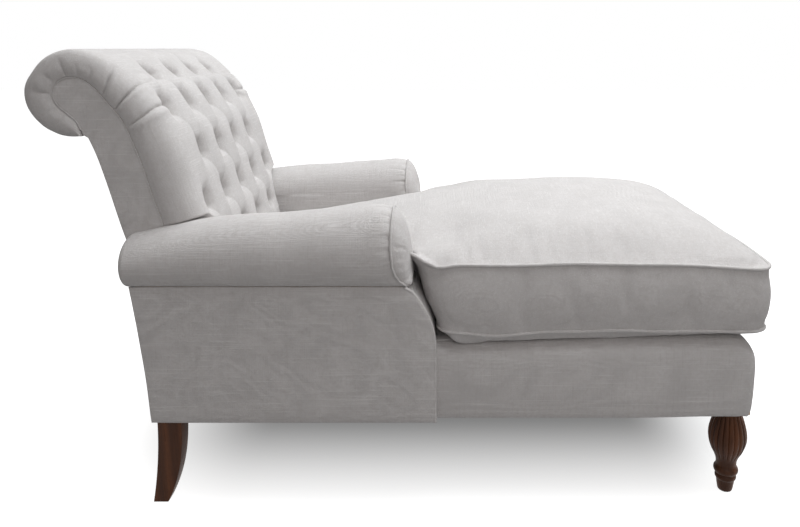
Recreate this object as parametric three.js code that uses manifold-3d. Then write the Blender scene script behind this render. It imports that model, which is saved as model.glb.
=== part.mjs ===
// A chaise longue with a deep-buttoned scroll back, rolled arms, a loose T-shaped seat
// cushion, turned and reeded front legs and swept rear legs.
// Lengths are in millimetres and +Z is up. The foot end points to -Y, the back stands at +Y,
// and left and right are the sitter's, so left is +X.
// While the pieces are made, Y is zero at the front of the arms. The whole group is moved at
// the end so that its origin is on the floor in the middle of its length.

import * as THREE from "three";
import { mergeVertices } from "three/addons/utils/BufferGeometryUtils.js";
import Module from "manifold-3d";

const wasm = await Module();
wasm.setup();

// Fits
const fitGap = 0.3;
const cutOverrun = 8;

// Base frame
const legHeight = 206;
const railHeight = 124;
const sideRailThickness = 38;
const frontRailThickness = 32;
const rearRailThickness = 28;
const middleRailThickness = 32;
const middleRailDrop = 22;
const middleRailPlace = 40;
const frontBlockSize = 90;
const rearBlockLength = 59;
const baseWidth = 766;
const footLength = 667;
const armLength = 585;

// Base upholstery
const borderPadding = 8.6;
const hemDrop = 3;
const platformPaddingRear = 34;
const platformPaddingFront = 54;
const platformBearing = 13.4;
const edgeRollDepth = 33;
const baseCornerRadius = 28;
const baseTopRounding = 40;
const baseBulge = 1.5;
const hemInset = 3;
const webThickness = 2;
const seatWebWidth = 50;
const dustCoverThickness = 1.5;
const dustCoverInset = 12;
const dustCoverCorner = 104;

// Legs
const legInset = 62;
const legFrontInset = 36;
const bulbRadius = 39.5;
const reedCount = 16;
const reedSteps = 3;
const reedDepth = 3.4;
const rearLegDepth = 49;
const rearLegThickness = 45;
const rearLegSweep = 46;
const rearLegHeelSweep = 21;
const rearLegSetBack = 6.5;
const rearLegInset = 9;
const rearLegFootTaper = 6;
const rearLegChamfer = 4;
const boltRadius = 4;
const boltHoleRadius = 4.4;
const boltInLeg = 40;
const boltInBlock = 60;
const boltEndRoom = 2;

// Arms
const armTopHeight = 495;
const armProud = 19;
const armWidth = 147;
const armPanelThickness = 6;
const armPadThickness = 44.7;
const armTopBoardThickness = 22;
const armPostDepth = 40;
const rollOverhang = 18;
const rollHeight = 153;
const rollFrontPlace = 88;
const rollRearReach = 40;
const rollEndDome = 14;
const facingDome = 40;
const facingCollar = 12;
const scoopReach = 64;

// Back frame
const backFrameDepth = 71;
const scrollReach = 241;
const backRise = 541;
const uprightThickness = 30;
const uprightFootSet = 8;
const backPanelThickness = 6;
const outsideBackThickness = 7;
const lowerRailThickness = 28;
const backWebWidth = 60;
const backWebPlace = 180;

// Buttoned back
const padThickness = 80;
const buttonRadius = 11;
const buttonRise = 6;
const buttonSink = 5;
const foldDepth = 14;
const pocketDepth = 16;
const pocketRadius = 24;
const borderFade = 22;
const padSideMinimum = 5;

// Seat cushion
const frontOverhang = 15;
const cushionSideGap = 1.2;
const cushionBackGap = 5;
const cushionArmGap = 1.5;
const earLean = 42;
const pipingBottomHeight = 395;
const boxingHeight = 140;
const stemPipingRise = 20;
const stemPipingFall = 46;
const crownHeight = 78;
const stemCrownHeight = 42;
const cushionCornerRadius = 30;
const earCornerRadius = 20;
const stemCornerRadius = 40;
const notchRadius = 6;
const pipingRadius = 4.5;
const boxingBulge = 7;
const edgeDrawIn = 5;
const cushionLiftClearance = 0.3;

// Places that follow from the sizes above
const railTop = legHeight + railHeight;
const backFootPlace = armLength - backFrameDepth;
const rollRearPlace = armLength + rollRearReach;
const coverBottom = legHeight - hemDrop;
const baseHalf = baseWidth / 2;
const railOuter = baseHalf - borderPadding;
const railInner = railOuter - sideRailThickness;
const railFront = -footLength + borderPadding;
const frameRear = armLength - outsideBackThickness - fitGap;
const platformHalf = railInner + platformBearing;
const platformRearTop = railTop + platformPaddingRear - fitGap;
const platformFrontTop = railTop + platformPaddingFront - fitGap;
const uprightOuter = railInner - fitGap;
const uprightInner = uprightOuter - uprightThickness;
const backHalf = uprightOuter + fitGap + backPanelThickness;
const armOuter = baseHalf + armProud;
const armBoardOuter = armOuter - armPanelThickness - fitGap;
const armInner = armOuter - armWidth;
const armPadBack = armInner + armPadThickness;
const rollHalf = (armWidth + rollOverhang) / 2;
const rollCentre = armInner + rollHalf;
const backFootHeight = platformRearTop + fitGap;
const padGap = webThickness + fitGap * 2;
const scoopRise = armTopHeight - railTop;

// Shapes as shares of the sizes that they follow
const frontEdgeShares = [
  [0, 0], [0.028, 0.125], [0.07, 0.25], [0.174, 0.445], [0.241, 0.545], [0.303, 0.654],
  [0.365, 0.741], [0.444, 0.834], [0.531, 0.889], [0.643, 0.952], [0.718, 0.983],
  [0.793, 0.997], [0.867, 1], [0.945, 0.987], [0.985, 0.962], [1, 0.931], [0.967, 0.9],
  [0.896, 0.871], [0.822, 0.839], [0.784, 0.791],
];
const rearEdgeShares = [
  [0.311, -0.146], [0.336, -0.015], [0.365, 0.123], [0.402, 0.248], [0.519, 0.42],
  [0.618, 0.597], [0.689, 0.712], [0.747, 0.78],
];
const seatWebShares = [-0.84, -0.63, -0.42, 0.256, 0.513];
const crestRailShare = 0.62;
const lowerRailShares = [0.02, 0.1];
const backWebShares = [0.025, 0.62];
const padThicknessShares = [
  [0, 0.93], [0.2, 1], [0.52, 1], [0.7, 0.84], [0.8, 0.71], [0.88, 0.8], [0.93, 0.67],
  [0.965, 0.5], [1, 0.07],
];
const buttonRowShares = [0.219, 0.342, 0.488, 0.62, 0.71];
const buttonProfileShares = [[0, -1], [0.9, -1], [1, 0.33], [0, 1]];
const shortRowReach = 1.5;
const paddedRimShare = 0.82;
const buttonPitchShare = 0.365;
const deepestShare = 0.8;
const padSideShares = [0, 0.35, 0.65, 0.87, 0.97, 1];
const rollHeightShares = [[0, 1], [0.34, 0.92], [0.67, 0.84], [0.86, 0.72], [1, 0.62]];
const rollEndShares = [[0, 1], [0.6, 0.93], [1, 0.76]];
const facingShares = [[0, 1], [0.2, 0.985], [0.5, 0.88], [0.8, 0.66], [1, 0.3]];
const scoopShares = [
  [0, 0], [0.02, 0.27], [0.06, 0.42], [0.19, 0.59], [0.42, 0.77], [0.72, 0.93], [1, 1],
];
const bulbProfileShares = [
  [0.67, 0.92], [0.72, 0.86], [0.86, 0.775], [0.975, 0.69], [1.01, 0.615], [0.97, 0.54],
  [0.87, 0.465], [0.73, 0.4], [0.62, 0.35], [0.565, 0.31],
];
const reedFadeShares = [0, 0.7, 1, 1, 1, 1, 1, 0.9, 0.6, 0];
const collarProfileShares = [
  [0.54, 0.29], [0.59, 0.275], [0.64, 0.257], [0.65, 0.235], [0.61, 0.213],
  [0.525, 0.198], [0.515, 0.186], [0.56, 0.17], [0.555, 0.146], [0.5, 0.125],
  [0.43, 0.04], [0.385, 0],
];
const baseLevelShares = [
  [0, 0, 1], [0.08, 0, 0], [0.45, 0, -1], [0.76, 0, 0], [0.89, 0.12, 0], [0.965, 0.42, 0],
  [1, 1, 0],
];
const crownShares = [0.965, 0.88, 0.72, 0.48, 0.24];
const crownFallShare = 0.45;
const bellyShares = [[0.97, 0.72], [0.9, 1], [0.6, 1]];
const pipingRingShares = [[-1, 0], [-0.4, 1], [0.6, 0.9], [1.1, 0.2]];
const boxingShares = [0.35, 0.68];
const crownEdgePower = 7;
const crownFallPower = 2.2;
const pipingRiseShares = [0.4, 0.6];
const earLeanShares = [[0, 0], [0.34, 0.24], [0.83, 0.48], [1.14, 1]];
const padRoundPower = 4;
const scrollRoundPower = 9;
const scrollStartShares = [0.7, 0.8];
const legLevelShares = [0, 0.12, 0.28, 0.46, 0.68, 0.955, 0.98, 1];
const rearLegShoulderShare = 0.97;
const rearLegFrontPower = 2.6;
const rearLegRearPower = 1.7;

// Materials
const linen = new THREE.MeshStandardMaterial({ color: 0xc3bcb6, roughness: 0.95 });
const walnut = new THREE.MeshStandardMaterial({ color: 0x4a2c1e, roughness: 0.45 });
const beech = new THREE.MeshStandardMaterial({ color: 0xc9a578, roughness: 0.7 });
const webbing = new THREE.MeshStandardMaterial({ color: 0x6b5a48, roughness: 0.9 });
const lining = new THREE.MeshStandardMaterial({ color: 0x2b2a2a, roughness: 0.95 });
const steel = new THREE.MeshStandardMaterial({ color: 0x9a9a9c, roughness: 0.4, metalness: 1 });

const chaise = new THREE.Group();

function addPiece(name, geometry, material) {
  const mesh = new THREE.Mesh(geometry, material);
  mesh.name = name;
  chaise.add(mesh);
}

// A closed surface from points and triangles, turned so that its faces point out
function closedSurface(points, triangles) {
  let volume = 0;
  for (const [a, b, c] of triangles) {
    volume += points[a].dot(points[b].clone().cross(points[c]));
  }
  const turned = volume < 0 ? triangles.map(([a, b, c]) => [a, c, b]) : triangles;
  const geometry = new THREE.BufferGeometry().setFromPoints(points);
  geometry.setIndex(turned.flat());
  return mergeVertices(geometry);
}

// Rings of equal count joined in order, with both ends closed by flat caps
function loft(rings) {
  const count = rings[0].length;
  const points = rings.flat();
  const triangles = [];
  for (let ring = 0; ring + 1 < rings.length; ring += 1) {
    for (let i = 0; i < count; i += 1) {
      const a = ring * count + i;
      const b = ring * count + ((i + 1) % count);
      triangles.push([a, b, b + count], [a, b + count, a + count]);
    }
  }
  const last = (rings.length - 1) * count;
  for (const [a, b, c] of flatCap(rings[0])) triangles.push([a, c, b]);
  for (const [a, b, c] of flatCap(rings[rings.length - 1])) {
    triangles.push([last + a, last + b, last + c]);
  }
  return closedSurface(points, triangles);
}

// Triangles of a flat outline, wound the same way as the outline runs
function flatCap(ring) {
  const area = new THREE.Vector3();
  ring.forEach((point, i) => area.add(point.clone().cross(ring[(i + 1) % ring.length])));
  const normal = area.normalize();
  const side = Math.abs(normal.x) < 0.5 ? new THREE.Vector3(1, 0, 0) : new THREE.Vector3(0, 1, 0);
  const across = side.clone().addScaledVector(normal, -side.dot(normal)).normalize();
  const up = normal.clone().cross(across);
  const flat = ring.map((point) => new THREE.Vector2(point.dot(across), point.dot(up)));
  return THREE.ShapeUtils.triangulateShape(flat, []);
}

// An outline in the YZ plane carried along X
function prismAlongX(outline, xStart, xEnd) {
  const shape = new THREE.Shape(outline);
  const geometry = new THREE.ExtrudeGeometry(shape, { depth: xEnd - xStart, bevelEnabled: false });
  const turn = new THREE.Matrix4().makeBasis(
    new THREE.Vector3(0, 1, 0),
    new THREE.Vector3(0, 0, 1),
    new THREE.Vector3(1, 0, 0),
  );
  geometry.applyMatrix4(turn);
  geometry.translate(xStart, 0, 0);
  return geometry;
}

function boxBetween(low, high) {
  const [x0, y0, z0] = low;
  const [x1, y1, z1] = high;
  const geometry = new THREE.BoxGeometry(x1 - x0, y1 - y0, z1 - z0);
  geometry.translate((x0 + x1) / 2, (y0 + y1) / 2, (z0 + z1) / 2);
  return geometry;
}

function solidOf(geometry) {
  const bare = geometry.clone();
  bare.deleteAttribute("normal");
  bare.deleteAttribute("uv");
  const merged = mergeVertices(bare);
  return new wasm.Manifold(new wasm.Mesh({
    numProp: 3,
    vertProperties: Float32Array.from(merged.attributes.position.array),
    triVerts: Uint32Array.from(merged.index.array),
  }));
}

function geometryOf(solid) {
  const mesh = solid.getMesh();
  const geometry = new THREE.BufferGeometry();
  geometry.setAttribute("position", new THREE.BufferAttribute(mesh.vertProperties, 3));
  geometry.setIndex(new THREE.BufferAttribute(mesh.triVerts, 1));
  return geometry;
}

function mirrored(geometry) {
  const copy = geometry.index ? geometry.clone() : mergeVertices(geometry);
  copy.applyMatrix4(new THREE.Matrix4().makeScale(-1, 1, 1));
  const order = copy.index.array;
  for (let i = 0; i < order.length; i += 3) {
    const kept = order[i + 1];
    order[i + 1] = order[i + 2];
    order[i + 2] = kept;
  }
  return copy;
}

// A left piece made at +X and the same piece for the right
function addPair(name, geometry, material) {
  addPiece(`${name}_left`, geometry, material);
  addPiece(`${name}_right`, mirrored(geometry), material);
}

// The value at t of a line through pairs of a share and a value
function along(pairs, t) {
  const next = pairs.findIndex(([share]) => share >= t);
  if (next <= 0) return pairs[next === 0 ? 0 : pairs.length - 1][1];
  const [t0, v0] = pairs[next - 1];
  const [t1, v1] = pairs[next];
  return THREE.MathUtils.lerp(v0, v1, (t - t0) / (t1 - t0));
}

function backPoint([reachShare, riseShare]) {
  return new THREE.Vector2(
    backFootPlace + reachShare * scrollReach,
    backFootHeight + riseShare * backRise,
  );
}

// A point beside a curve, away to the left of its run
function beside(curve, share, distance) {
  const point = curve.getPointAt(share);
  const run = curve.getTangentAt(share);
  return new THREE.Vector2(point.x - run.y * distance, point.y + run.x * distance);
}

function samples(count, from, to, pick) {
  const list = [];
  for (let i = 0; i <= count; i += 1) {
    list.push(pick(THREE.MathUtils.lerp(from, to, i / count)));
  }
  return list;
}

// Points beside the rear edge of the back, from its foot to the scroll
function rearRun(distance) {
  return samples(20, 0, 1, (t) => beside(rearEdge, t, distance));
}

const frontEdge = new THREE.SplineCurve(frontEdgeShares.map(backPoint));
frontEdge.arcLengthDivisions = 800;
const rearEdge = new THREE.SplineCurve([
  new THREE.Vector2(armLength, coverBottom),
  ...rearEdgeShares.map(backPoint),
]);
const buttonPitch = backHalf * buttonPitchShare;
const lastRow = buttonRowShares.length - 1;
const rowStepShare = (buttonRowShares[lastRow] - buttonRowShares[0]) / lastRow;
const rowPitch = frontEdge.getLength() * rowStepShare;
const rearFrameEdge = rearRun(outsideBackThickness + fitGap);
rearFrameEdge[0].y = legHeight;

function makeBaseFrame() {
  const sideRail = boxBetween(
    [railInner, railFront + frontBlockSize + fitGap, legHeight],
    [railOuter, frameRear - rearBlockLength - fitGap, railTop],
  );
  addPair("side_rail", sideRail, beech);
  const blockInner = railOuter - frontBlockSize;
  const frontRail = boxBetween(
    [-blockInner + fitGap, railFront, legHeight],
    [blockInner - fitGap, railFront + frontRailThickness, railTop],
  );
  addPiece("front_rail", frontRail, beech);
  const rearRail = boxBetween(
    [-uprightInner + fitGap, frameRear - rearRailThickness, legHeight],
    [uprightInner - fitGap, frameRear, railTop],
  );
  addPiece("rear_rail", rearRail, beech);
  const middleRail = boxBetween(
    [-railInner + fitGap, middleRailPlace, legHeight],
    [railInner - fitGap, middleRailPlace + middleRailThickness, railTop - middleRailDrop],
  );
  addPiece("middle_rail", middleRail, beech);
}

function boltCutter(x, y) {
  const length = boltInLeg + boltInBlock + boltEndRoom * 2;
  const hole = new THREE.CylinderGeometry(boltHoleRadius, boltHoleRadius, length, 12);
  hole.rotateX(Math.PI / 2);
  hole.translate(x, y, legHeight - boltInLeg - boltEndRoom + length / 2);
  return solidOf(hole);
}

function makeBolt(x, y) {
  const length = boltInLeg + boltInBlock;
  const bolt = new THREE.CylinderGeometry(boltRadius, boltRadius, length, 12);
  bolt.rotateX(Math.PI / 2);
  bolt.translate(x, y, legHeight - boltInLeg + length / 2);
  return bolt;
}

const frontLegX = baseHalf - legInset;
const frontLegY = -footLength + legFrontInset;
const rearLegOuter = baseHalf - rearLegInset;
const rearLegRear = frameRear - fitGap;
const rearBoltX = (railInner + railOuter) / 2;
const rearBoltY = rearLegRear - rearLegDepth / 2;

// A ring of the reeded bulb, with flat-topped reeds between narrow grooves
function reededRing(radius, height, depth) {
  const steps = reedCount * reedSteps;
  const ring = [];
  for (let i = 0; i < steps; i += 1) {
    const angle = (i / steps) * Math.PI * 2;
    const reach = i % reedSteps === 0 ? radius - depth : radius;
    ring.push(new THREE.Vector3(
      frontLegX + reach * Math.cos(angle),
      frontLegY + reach * Math.sin(angle),
      height,
    ));
  }
  return ring;
}

function makeFrontLegs() {
  const top = legHeight - fitGap;
  const bulbRings = bulbProfileShares.map(([radius, height], i) => (
    reededRing(radius * bulbRadius, height * top, reedFadeShares[i] * reedDepth)
  ));
  bulbRings.unshift(reededRing(bulbProfileShares[0][0] * bulbRadius, top, 0));
  const lower = collarProfileShares.map(([radius, height]) => (
    new THREE.Vector2(radius * bulbRadius, height * top)
  ));
  const [neckRadius, neckHeight] = bulbProfileShares[bulbProfileShares.length - 1];
  const neckTop = neckHeight * top + reedDepth;
  lower.unshift(new THREE.Vector2(neckRadius * bulbRadius - reedDepth, neckTop));
  lower.unshift(new THREE.Vector2(0, neckTop));
  lower.push(new THREE.Vector2(0, 0));
  const turning = new THREE.LatheGeometry(lower.reverse(), 24);
  turning.rotateX(Math.PI / 2);
  turning.translate(frontLegX, frontLegY, 0);
  const leg = solidOf(loft(bulbRings))
    .add(solidOf(turning))
    .subtract(boltCutter(frontLegX, frontLegY));
  addPair("front_leg", geometryOf(leg), walnut);
  const blockInner = railOuter - frontBlockSize;
  const block = boxBetween(
    [blockInner, railFront, legHeight],
    [railOuter, railFront + frontBlockSize, railTop],
  );
  const drilled = solidOf(block).subtract(boltCutter(frontLegX, frontLegY));
  addPair("front_corner_block", geometryOf(drilled), beech);
  addPair("leg_bolt_front", makeBolt(frontLegX, frontLegY), steel);
}

function makeRearLegs() {
  const height = legHeight - fitGap;
  const rings = legLevelShares.map((share) => {
    const fall = 1 - share;
    const top = rearLegRear + (share < rearLegShoulderShare ? rearLegSetBack : 0);
    const front = top - rearLegDepth + rearLegSweep * fall ** rearLegFrontPower;
    const rear = top + rearLegHeelSweep * fall ** rearLegRearPower;
    const outer = rearLegOuter - rearLegFootTaper * fall;
    const inner = rearLegOuter - rearLegThickness + rearLegFootTaper * fall;
    const cut = rearLegChamfer;
    return [
      [outer, front + cut], [outer, rear - cut], [outer - cut, rear], [inner + cut, rear],
      [inner, rear - cut], [inner, front + cut], [inner + cut, front], [outer - cut, front],
    ].map(([x, y]) => new THREE.Vector3(x, y, share * height));
  });
  const leg = solidOf(loft(rings)).subtract(boltCutter(rearBoltX, rearBoltY));
  addPair("rear_leg", geometryOf(leg), walnut);
  const block = boxBetween(
    [railInner, frameRear - rearBlockLength, legHeight],
    [railOuter, frameRear, railTop],
  );
  const drilled = solidOf(block).subtract(boltCutter(rearBoltX, rearBoltY));
  addPair("rear_corner_block", geometryOf(drilled), beech);
  addPair("leg_bolt_rear", makeBolt(rearBoltX, rearBoltY), steel);
}

// The height of the base's sloped top, which falls from the foot end to the arms
function baseSlope(y) {
  return THREE.MathUtils.lerp(platformRearTop, platformFrontTop, -y / footLength);
}

// The height of the deck, which is level between the arms
function deckHeight(y) {
  return Math.max(platformRearTop, baseSlope(y));
}

function roundedBase() {
  const rings = baseLevelShares.map(([heightShare, roundShare, hemShare]) => {
    const bulge = hemShare < 0 ? -baseBulge : hemInset * hemShare;
    const inset = roundShare * baseTopRounding + bulge;
    const ring = [];
    const rear = cutOverrun * 2;
    const radius = baseCornerRadius;
    const x = baseHalf - inset;
    const y = -footLength + inset;
    const corner = samples(5, 0, Math.PI / 2, (angle) => [
      x - radius + radius * Math.cos(angle),
      y + radius - radius * Math.sin(angle),
    ]);
    ring.push([x, rear], ...corner);
    ring.push(...corner.slice().reverse().map(([px, py]) => [-px, py]), [-x, rear]);
    return ring.map(([px, py]) => new THREE.Vector3(
      px,
      py,
      THREE.MathUtils.lerp(coverBottom, baseSlope(py), heightShare),
    ));
  });
  return solidOf(loft(rings));
}

function makeBaseUpholstery() {
  const low = -cutOverrun;
  const high = platformFrontTop + cutOverrun;
  const cavity = solidOf(boxBetween(
    [-railOuter - fitGap, railFront - fitGap, low],
    [railOuter + fitGap, cutOverrun * 3, railTop + fitGap],
  ));
  const shell = roundedBase().subtract(cavity);
  const frontEnd = railFront + edgeRollDepth;
  const wide = baseHalf + cutOverrun;
  const front = solidOf(boxBetween(
    [-wide, -footLength - cutOverrun, low],
    [wide, frontEnd, high],
  ));
  const side = solidOf(boxBetween(
    [platformHalf, frontEnd + fitGap, low],
    [wide, -fitGap, high],
  ));
  addPiece("base_border_front", geometryOf(shell.intersect(front)), linen);
  addPair("base_border", geometryOf(shell.intersect(side)), linen);
  const middle = solidOf(boxBetween(
    [-platformHalf + fitGap, frontEnd + fitGap, railTop + padGap],
    [platformHalf - fitGap, -fitGap, high],
  ));
  const rearHalf = armPadBack - fitGap;
  const rear = solidOf(boxBetween(
    [-rearHalf, -cutOverrun, railTop + padGap],
    [rearHalf, backFootPlace - padGap, platformRearTop],
  ));
  addPiece("seat_platform", geometryOf(roundedBase().intersect(middle).add(rear)), linen);
  seatWebShares.forEach((share, i) => {
    const place = share * (share < 0 ? footLength : armLength);
    const web = boxBetween(
      [-platformHalf + fitGap, place, railTop + fitGap],
      [platformHalf - fitGap, place + seatWebWidth, railTop + fitGap + webThickness],
    );
    addPiece(`seat_web_${i + 1}`, web, webbing);
  });
  const x = railOuter - dustCoverInset;
  const corner = x - dustCoverCorner;
  const coverFront = railFront + dustCoverInset;
  const coverRear = frameRear - dustCoverInset;
  const outline = [
    [corner, coverFront], [x, coverFront + dustCoverCorner], [x, coverRear - dustCoverCorner],
    [corner, coverRear], [-corner, coverRear], [-x, coverRear - dustCoverCorner],
    [-x, coverFront + dustCoverCorner], [-corner, coverFront],
  ].map(([px, py]) => new THREE.Vector2(px, py));
  const sheet = new THREE.ExtrudeGeometry(new THREE.Shape(outline), {
    depth: dustCoverThickness,
    bevelEnabled: false,
  });
  sheet.translate(0, 0, legHeight - fitGap - dustCoverThickness);
  addPiece("dust_cover", sheet, lining);
}

function makeBackFrame() {
  const foot = new THREE.Vector2(backFootPlace - uprightFootSet, legHeight);
  const cane = [foot, ...frontEdge.getSpacedPoints(44), ...rearFrameEdge.slice().reverse()];
  addPair("back_upright", prismAlongX(cane, uprightInner, uprightOuter), beech);
  const crest = [
    ...samples(22, crestRailShare, 1, (t) => frontEdge.getPointAt(t)),
    rearFrameEdge[rearFrameEdge.length - 1],
  ];
  const between = uprightInner - fitGap;
  addPiece("back_crest_rail", prismAlongX(crest, -between, between), beech);
  const [low, high] = lowerRailShares.map((share) => frontEdge.getPointAt(share));
  const lowerRail = [
    low,
    high,
    new THREE.Vector2(high.x + lowerRailThickness, high.y),
    new THREE.Vector2(low.x + lowerRailThickness, low.y),
  ];
  addPiece("back_lower_rail", prismAlongX(lowerRail, -between, between), beech);
  const [webLow, webHigh] = backWebShares;
  const band = [
    ...samples(14, webLow, webHigh, (t) => beside(frontEdge, t, fitGap)),
    ...samples(14, webHigh, webLow, (t) => beside(frontEdge, t, fitGap + webThickness)),
  ];
  [["left", backWebPlace], ["middle", 0], ["right", -backWebPlace]].forEach(([side, x]) => {
    const web = prismAlongX(band, x - backWebWidth / 2, x + backWebWidth / 2);
    addPiece(`back_web_${side}`, web, webbing);
  });
  const outside = [
    ...rearRun(0),
    ...rearRun(outsideBackThickness).reverse(),
  ];
  addPiece("outside_back", prismAlongX(outside, -backHalf, backHalf), linen);
  const arms = armEnvelope(fitGap);
  const sidePanel = solidOf(prismAlongX(sidePanelOutline(), uprightOuter + fitGap, backHalf));
  addPair("back_side_panel", geometryOf(sidePanel.subtract(arms)), linen);
}

// The flat facing of the upright, from the top of the arm's frame to the scroll
function sidePanelOutline() {
  const low = armTopHeight + fitGap;
  const front = frontEdge.getSpacedPoints(60).filter((point) => point.y > low || point.x > armLength);
  const rear = rearFrameEdge.filter((point) => point.y > low).reverse();
  return [...front, ...rear];
}

// The outline of the arm's roll at a place along it, from the outer crease over the top
function rollArc(y, grow) {
  const share = (y - rollFrontPlace) / (rollRearPlace - rollFrontPlace);
  const height = rollHeight * along(rollHeightShares, THREE.MathUtils.clamp(share, 0, 1));
  const creaseShare = (armOuter - rollCentre) / rollHalf;
  const drop = Math.sqrt(1 - creaseShare ** 2);
  const radius = height / (1 + drop);
  const centre = armTopHeight + fitGap + radius * drop;
  const start = -Math.asin(drop);
  return samples(13, start, Math.PI, (angle) => new THREE.Vector3(
    rollCentre + (rollHalf + grow) * Math.cos(angle),
    y,
    centre + (radius + grow) * Math.sin(angle),
  ));
}

function rollStations() {
  return samples(7, rollFrontPlace, rollRearPlace - rollEndDome, (y) => y);
}

// The whole space of one arm, which the back is cut to
function armEnvelope(grow) {
  const rings = rollStations().map((y) => {
    const arc = rollArc(y, grow);
    arc.push(new THREE.Vector3(armInner - grow, y, coverBottom));
    arc.push(new THREE.Vector3(rollCentre + rollHalf + grow, y, coverBottom));
    return arc;
  });
  const rearRing = rings[rings.length - 1].map((point) => point.clone());
  rearRing.forEach((point) => point.setY(rollRearPlace + cutOverrun));
  return solidOf(loft([...rings, rearRing]));
}

// What the back's frame and its flat facings take up, which the arms are cut to
function backBlock() {
  const front = samples(20, 0, backWebShares[1], (t) => beside(frontEdge, t, padGap));
  const foot = new THREE.Vector2(front[0].x, 0);
  const top = front[front.length - 1];
  const rear = rollRearPlace + cutOverrun;
  const outline = [
    foot, ...front, new THREE.Vector2(rear, top.y), new THREE.Vector2(rear, 0),
  ];
  const half = backHalf + fitGap;
  return solidOf(prismAlongX(outline, -half, half));
}

// The curve of the arm's front, from the foot of the panel up under the roll
const scoop = new THREE.SplineCurve(scoopShares.map(([reach, rise]) => new THREE.Vector2(
  reach * scoopReach,
  armTopHeight - scoopRise + rise * scoopRise,
)));

function scoopEdge(inset) {
  const edge = samples(12, 0, 1, (t) => beside(scoop, t, -inset));
  edge[edge.length - 1].y = armTopHeight;
  return edge;
}

function makeArms() {
  const skin = armPanelThickness + fitGap;
  const rearLine = samples(12, 0, 1, (t) => beside(rearEdge, t, 0))
    .filter((point) => point.y < armTopHeight);
  const rearTop = rearLine[rearLine.length - 1];
  const rearCorner = new THREE.Vector2(rearTop.x, armTopHeight);
  const panel = [
    new THREE.Vector2(0, coverBottom), ...scoopEdge(0), rearCorner, ...rearLine.slice().reverse(),
  ];
  const outer = prismAlongX(panel, armBoardOuter + fitGap, armOuter);
  addPair("arm_outside_panel", outer, linen);
  const boardRear = rearLine.map((point) => new THREE.Vector2(point.x - skin, point.y));
  boardRear[0].y = legHeight;
  const board = [
    new THREE.Vector2(skin, legHeight), ...scoopEdge(skin),
    new THREE.Vector2(rearTop.x - skin, armTopHeight), ...boardRear.slice().reverse(),
  ];
  const sideBoard = prismAlongX(board, railOuter + fitGap, armBoardOuter);
  addPair("arm_side_board", sideBoard, beech);
  const rearSheet = [
    ...rearLine, rearCorner,
    new THREE.Vector2(rearCorner.x - armPanelThickness, armTopHeight),
    ...rearLine.slice().reverse().map((point) => (
      new THREE.Vector2(point.x - armPanelThickness, point.y)
    )),
  ];
  addPair("arm_rear_panel", prismAlongX(rearSheet, backHalf + fitGap, armBoardOuter), linen);
  const boardTop = armTopHeight;
  const boardBottom = boardTop - armTopBoardThickness;
  const postFoot = railTop + fitGap;
  const postHeight = boardBottom - fitGap;
  const postFront = scoopEdge(skin)
    .filter((point) => point.y > postFoot && point.y < postHeight);
  const postReach = along(scoopEdge(skin).map((point) => [point.y, point.x]), postHeight);
  const post = [
    new THREE.Vector2(skin, postFoot), ...postFront,
    new THREE.Vector2(postReach, postHeight),
    new THREE.Vector2(postReach + armPostDepth, postHeight),
    new THREE.Vector2(skin + armPostDepth, postFoot),
  ];
  const postInner = armPadBack + fitGap;
  addPair("arm_post", prismAlongX(post, postInner, railOuter), beech);
  const boardFront = scoopEdge(skin).filter((point) => point.y >= boardBottom);
  const topBoard = boxBetween(
    [postInner, boardFront[boardFront.length - 1].x, boardBottom],
    [railOuter, rearTop.x - skin, boardTop],
  );
  const backSpace = backBlock();
  addPair("arm_top_board", geometryOf(solidOf(topBoard).subtract(backSpace)), beech);
  makeArmRolls(backSpace);
  makeArmFronts();
}

function makeArmRolls(backSpace) {
  const floor = platformRearTop + fitGap;
  const ring = (y, scale) => {
    const arc = rollArc(y, 0);
    const middle = arc[0].clone().add(arc[arc.length - 1]).multiplyScalar(0.5);
    arc.forEach((point) => {
      point.x = middle.x + (point.x - middle.x) * scale;
      point.z = middle.z + (point.z - middle.z) * scale;
    });
    const base = armTopHeight + fitGap;
    arc[0].z = Math.max(arc[0].z, base);
    const inner = arc[arc.length - 1].x;
    return [
      ...arc,
      new THREE.Vector3(inner, y, floor),
      new THREE.Vector3(armPadBack, y, floor),
      new THREE.Vector3(armPadBack, y, base),
    ];
  };
  const rings = rollStations().map((y) => ring(y, 1));
  rollEndShares.slice(1).forEach(([share, scale]) => {
    rings.push(ring(rollRearPlace - rollEndDome * (1 - share), scale));
  });
  const roll = solidOf(loft(rings)).subtract(backSpace);
  addPair("arm_roll", geometryOf(roll), linen);
}

function makeArmFronts() {
  const seam = rollFrontPlace - fitGap;
  const outline = rollArc(rollFrontPlace, 0);
  const centre = new THREE.Vector3();
  outline.forEach((point) => centre.add(point));
  centre.divideScalar(outline.length);
  const rings = facingShares.map(([reach, size]) => outline.map((point) => {
    const spot = centre.clone().lerp(point, size);
    const collar = facingCollar * Math.min(1, reach / facingShares[1][0]);
    return spot.setY(seam - collar - reach * (facingDome - facingCollar));
  }));
  addPair("arm_facing", loft(rings), linen);
  const skin = armPanelThickness;
  const upper = [...scoopEdge(0), ...scoopEdge(skin).reverse()]
    .map((point) => new THREE.Vector2(point.x, Math.min(point.y, armTopHeight)));
  const deckLine = platformRearTop + fitGap;
  const upperSolid = solidOf(prismAlongX(upper, armInner, armBoardOuter))
    .intersect(solidOf(boxBetween(
      [0, -cutOverrun, deckLine],
      [armOuter, scoopReach + cutOverrun * 2, armTopHeight],
    )));
  const lower = solidOf(boxBetween(
    [baseHalf + fitGap, 0, coverBottom],
    [armBoardOuter, skin, deckLine + cutOverrun],
  ));
  addPair("arm_front_panel", geometryOf(upperSolid.add(lower)), linen);
}

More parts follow.
